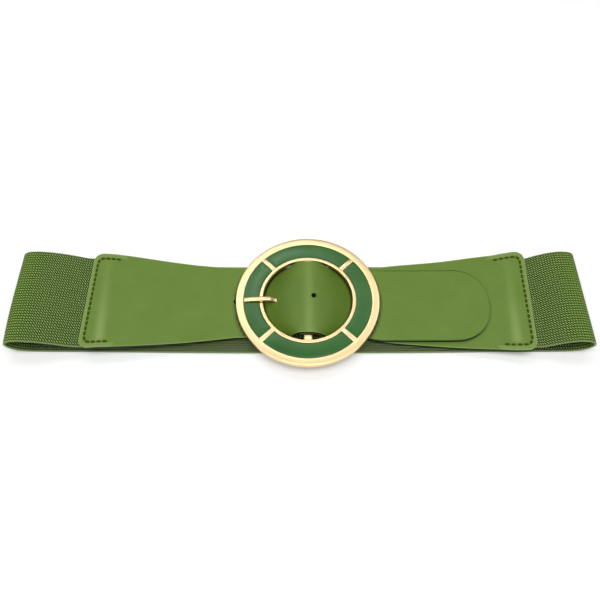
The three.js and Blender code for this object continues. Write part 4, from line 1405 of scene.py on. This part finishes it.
@dataclass
class Buckle:
    """The cast ring with its bar, the enamel inlays and the prong."""

    s: BeltSizes = field(default_factory=BeltSizes)
    steps: int = 160
    rim_rounding: float = 0.4
    spoke_rounding: float = 0.16
    spoke_sink: float = 0.03
    spoke_overlap: float = 0.9
    bar_rounding: float = 0.7
    inlay_columns: int = 61
    inlay_rows: int = 15
    inlay_air: float = 0.04
    inlay_floor: float = 0.3
    inlay_rounding: float = 0.08
    dome: float = 0.1
    dome_span: float = 4.0
    dip_span: float = 0.5
    shaft_sides: int = 16
    shaft_rounding: float = 0.2
    eye_sides: int = 40
    eye_squareness: float = 0.6
    eye_rounding: float = 0.3

    def turned(self, name: str, profile: Sequence[Tuple[float, float]]) -> Piece:
        """Turns a closed profile round the ring's axis.

        Args:
            name: The piece's name.
            profile: Radius and height of each corner, in order.

        Returns:
            The turned body.
        """
        radius, height = profile[0]
        piece = start_piece(name, bpy.ops.mesh.primitive_circle_add, vertices=self.steps,
                            radius=radius * MM, fill_type="NOTHING", location=(0, 0, 0))
        with editing(piece):
            bpy.ops.transform.translate(value=(0, 0, height * MM))
            for (r0, z0), (r1, z1) in zip(profile, [*profile[1:], profile[0]]):
                bpy.ops.mesh.extrude_edges_move()
                bpy.ops.transform.resize(value=(r1 / r0, r1 / r0, 1), center_override=(0, 0, 0))
                bpy.ops.transform.translate(value=(0, 0, (z1 - z0) * MM))
            bpy.ops.mesh.select_all(action="SELECT")
            bpy.ops.mesh.remove_doubles(threshold=MERGE_DISTANCE)
            bpy.ops.mesh.normals_make_consistent(inside=False)
        return piece

    def bar_block(self, name: str, size: Place, place: Place, turn: float, rounding: float) -> Piece:
        """A block with rounded edges, at a place and turned about Z."""
        piece = start_piece(name, bpy.ops.mesh.primitive_cube_add, size=1, location=(0, 0, 0))
        piece.data.transform(Matrix.Diagonal((size[0] * MM, size[1] * MM, size[2] * MM, 1)))
        piece.data.transform(Matrix.Translation(Vector(place) * MM))
        piece.data.transform(Matrix.Rotation(turn, 4, "Z"))
        bevel(piece, rounding, segments=3, degrees=40)
        return piece

    def casting(self) -> Piece:
        """Makes the rims, recess floor, spokes and bar as one casting.

        Returns:
            The finished piece.
        """
        s = self.s
        floor = s.ring_top - s.recess_depth
        profile = [(s.hole_radius, s.ring_bottom), (s.ring_radius, s.ring_bottom),
                   (s.ring_radius, s.ring_top), (s.channel_outer, s.ring_top), (s.channel_outer, floor),
                   (s.channel_inner, floor), (s.channel_inner, s.ring_top), (s.hole_radius, s.ring_top)]
        ring = self.turned("ring_casting", profile)
        bevel(ring, self.rim_rounding, segments=4, degrees=60)
        parts = [ring]
        reach = (s.channel_inner + s.channel_outer) / 2
        height = s.recess_depth + s.ring_thickness / 4
        length = s.channel_outer - s.channel_inner + s.inner_rim * self.spoke_overlap
        place = (reach, 0.0, s.ring_top - self.spoke_sink - height / 2)
        for quarter in range(4):
            turn = math.pi / 4 + quarter * math.pi / 2
            parts.append(self.bar_block("spoke", (length, s.spoke_width, height), place, turn,
                                        self.spoke_rounding))
        parts.append(self.bar_block("bar", (s.bar_width, 2 * s.hole_radius + s.inner_rim, s.bar_height),
                                    (0.0, 0.0, s.bar_middle), 0.0, self.bar_rounding))
        piece = join(parts, "ring_casting")
        piece.data.transform(Matrix.Translation((s.bar_x * MM, 0, 0)))
        dress(piece, Finish.GOLD)
        smooth_by_angle(piece, degrees=35)
        hand_over(piece, ["buckle_frame"])
        return piece

    def inlay(self, name: str, node: str, quarter: int) -> Piece:
        """Makes the enamel between two spokes, its surface domed and dipping at the rims.

        Args:
            name: The piece's name.
            node: The CAD node that it stands for.
            quarter: Which of the four, counted from the far one.

        Returns:
            The finished piece.
        """
        s = self.s
        air = self.inlay_air
        r = np.linspace(s.channel_inner + air, s.channel_outer - air, self.inlay_rows)
        trim = np.arcsin((s.spoke_width / 2 + air) / r)
        start = math.pi / 4 + quarter * math.pi / 2 + trim
        stop = start + math.pi / 2 - 2 * trim
        t = np.linspace(0, 1, self.inlay_columns)
        angle = start[None, :] + (stop - start)[None, :] * t[:, None]
        radius = np.broadcast_to(r[None, :], angle.shape)
        wide = np.minimum(radius - s.channel_inner, s.channel_outer - radius)
        long = np.minimum(t, 1 - t)[:, None] * math.pi / 2 * radius
        near = np.minimum(wide, long)
        rise = smooth(near / self.dome_span) - np.exp(-near / self.dip_span)
        top = s.ring_top - s.enamel_drop + self.dome * rise
        points = np.dstack([s.bar_x + radius * np.cos(angle), radius * np.sin(angle), top])
        flat = np.dstack([angle * radius, radius])
        body = np.full(near.shape, s.recess_depth - s.enamel_drop - self.inlay_floor)
        piece = Strip(name, points, flat, {"rim_mm": near}, body, offset=-1.0, rim=Finish.ENAMEL,
                      face=Finish.ENAMEL, rounding=self.inlay_rounding).build()
        hand_over(piece, [node])
        return piece

    def shaft(self, name: str, grow: float) -> Piece:
        """Makes the prong's shaft from a block drawn along its run.

        Args:
            name: The piece's name.
            grow: Added all round, for the cutter of its passage.

        Returns:
            The shaft.
        """
        s = self.s
        rows = len(PRONG_RUN)
        piece = start_piece(name, bpy.ops.mesh.primitive_cylinder_add, vertices=self.shaft_sides, radius=1.0,
                            depth=1.0, rotation=(0, -math.pi / 2, 0))
        settle(piece)
        with editing(piece):
            for k in range(1, rows - 1):
                bpy.ops.mesh.select_all(action="SELECT")
                bpy.ops.mesh.bisect(plane_co=(0.5 - k / (rows - 1), 0, 0), plane_no=(1, 0, 0))
        low, high = s.bar_middle, s.ring_top + s.gap + s.prong_height / 2
        for vertex in piece.data.vertices:
            k = int(round((0.5 - vertex.co.x) * (rows - 1)))
            reach, rise, wide, tall = PRONG_RUN[k]
            c, d = squared(math.atan2(vertex.co.z, vertex.co.y), s.prong_squareness)
            last = grow if k == rows - 1 else 0.0
            vertex.co = Vector((s.bar_x - reach * s.channel_outer - last,
                                (s.prong_width / 2 * wide + grow) * c - s.prong_swing * reach,
                                mix(low, high, rise) + (s.prong_height / 2 * tall + grow) * d)) * MM
        return piece

    def prong(self) -> Piece:
        """Makes the prong: its eye round the bar and its shaft over the rim.

        Returns:
            The finished piece.
        """
        s = self.s
        shaft = self.shaft("prong_shaft", 0.0)
        wide = s.bar_width / 2 + s.gap
        tall = s.bar_height / 2 + s.gap
        eye = start_piece("prong_eye", bpy.ops.mesh.primitive_circle_add, vertices=self.eye_sides,
                          radius=1.0, fill_type="NOTHING", rotation=(math.pi / 2, 0, 0))
        settle(eye)
        for vertex in eye.data.vertices:
            c, d = squared(math.atan2(vertex.co.z, vertex.co.x), self.eye_squareness)
            vertex.co = Vector((s.bar_x + wide * c, -s.prong_width / 2, s.bar_middle + tall * d)) * MM
        with editing(eye):
            bpy.ops.mesh.extrude_edges_move(TRANSFORM_OT_translate={"value": (0, s.prong_width * MM, 0)})
            bpy.ops.mesh.select_all(action="SELECT")
            bpy.ops.mesh.normals_make_consistent(inside=False)
        apply_modifier(eye, "SOLIDIFY", thickness=s.prong_loop * MM, offset=1.0)
        bevel(eye, self.eye_rounding, segments=2, degrees=50)
        bevel(shaft, self.shaft_rounding, segments=2, degrees=60)
        piece = join([shaft, eye], "prong_metal")
        dress(piece, Finish.GOLD)
        smooth_by_angle(piece, degrees=45)
        hand_over(piece, ["prong"])
        return piece


@dataclass(frozen=True)
class Panel:
    """A soft panel of light that faces the belt, its place and size in metres, its power in watts."""

    name: str
    place: Place
    size: Tuple[float, float]
    power: float

    def hang(self) -> None:
        """Hangs the panel."""
        data = bpy.data.lights.new(self.name, "AREA")
        data.shape = "RECTANGLE"
        data.size, data.size_y = self.size
        data.energy = self.power
        lamp = bpy.data.objects.new(self.name, data)
        bpy.context.scene.collection.objects.link(lamp)
        lamp.location = self.place
        lamp.rotation_euler = (-Vector(self.place)).to_track_quat("-Z", "Y").to_euler()


PANELS: Sequence[Panel] = (
    Panel("overhead_panel", (0.0, -0.3, 1.5), (2.2, 1.0), 24.0),
    Panel("ring_panel", (0.0, 0.6, 1.0), (0.6, 0.46), 0.8),
    Panel("gleam_left", (-0.1, 0.585, 1.0), (0.05, 0.05), 0.1),
    Panel("gleam_middle", (-0.06, 0.64, 1.0), (0.05, 0.05), 0.2),
    Panel("gleam_right", (-0.01, 0.695, 1.0), (0.05, 0.04), 0.08),
    Panel("left_wing", (-0.5, 0.55, 0.95), (0.4, 0.4), 1.4),
    Panel("right_wing", (0.5, 0.5, 0.9), (0.35, 0.4), 1.0),
)


@dataclass
class Studio:
    """Table, lights and camera."""

    target: Place = (0.78, 4.28, 0.0)
    distance: float = 349.1
    elevation: float = 61.73
    focal_pixels: float = 571.15
    frame_pixels: float = 600.0
    sensor: float = 36.0
    table_size: float = 6.0
    table_drop: float = 0.05
    room_light: float = 0.12

    def camera(self) -> None:
        """Places the camera in front of the belt, high over the table."""
        data = bpy.data.cameras.new("studio_camera")
        data.sensor_width = self.sensor
        data.sensor_fit = "HORIZONTAL"
        data.lens = self.sensor * self.focal_pixels / self.frame_pixels
        data.clip_start, data.clip_end = 0.01, 50.0
        camera = bpy.data.objects.new("studio_camera", data)
        bpy.context.scene.collection.objects.link(camera)
        angle = math.radians(self.elevation)
        back = Vector((0, -math.cos(angle), math.sin(angle)))
        camera.location = (Vector(self.target) + back * self.distance) * MM
        camera.rotation_euler = Euler((math.pi / 2 - angle, 0, 0))
        bpy.context.scene.camera = camera

    def table(self) -> None:
        """Lays the table, a hair under the belt."""
        floor = start_piece("table_top", bpy.ops.mesh.primitive_plane_add, size=self.table_size,
                            location=(0, 0, 0))
        floor.data.transform(Matrix.Translation((0, 0, -self.table_drop * MM)))
        dress(floor, Finish.TABLE)

    def build(self) -> None:
        """Sets up the whole studio."""
        self.camera()
        self.table()
        for panel in PANELS:
            panel.hang()
        world = bpy.data.worlds.new("pale_room")
        world.use_nodes = True
        background = world.node_tree.nodes["Background"]
        background.inputs["Color"].default_value = WHITE
        background.inputs["Strength"].default_value = self.room_light
        scene = bpy.context.scene
        scene.world = world
        scene.view_settings.view_transform = "Standard"
        scene.view_settings.look = "None"
        scene.view_settings.exposure = 0.0


def main() -> None:
    """Builds the belt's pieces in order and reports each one."""
    logging.basicConfig(level=logging.INFO, format="%(message)s")
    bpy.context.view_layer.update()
    Studio().build()
    straps, buckle = LeatherStraps(), Buckle()
    pieces = [ElasticBand().build(), *straps.tongue(), *straps.buckle(), buckle.casting()]
    for quarter, side in enumerate(("far", "left", "near", "right")):
        pieces.append(buckle.inlay(f"inlay_{side}", f"enamel_{side}", quarter))
    pieces.append(buckle.prong())
    for piece in pieces:
        LOG.info("%s: %d faces", piece.name, len(piece.data.polygons))
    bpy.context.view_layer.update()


if __name__ == "__main__":
    main()
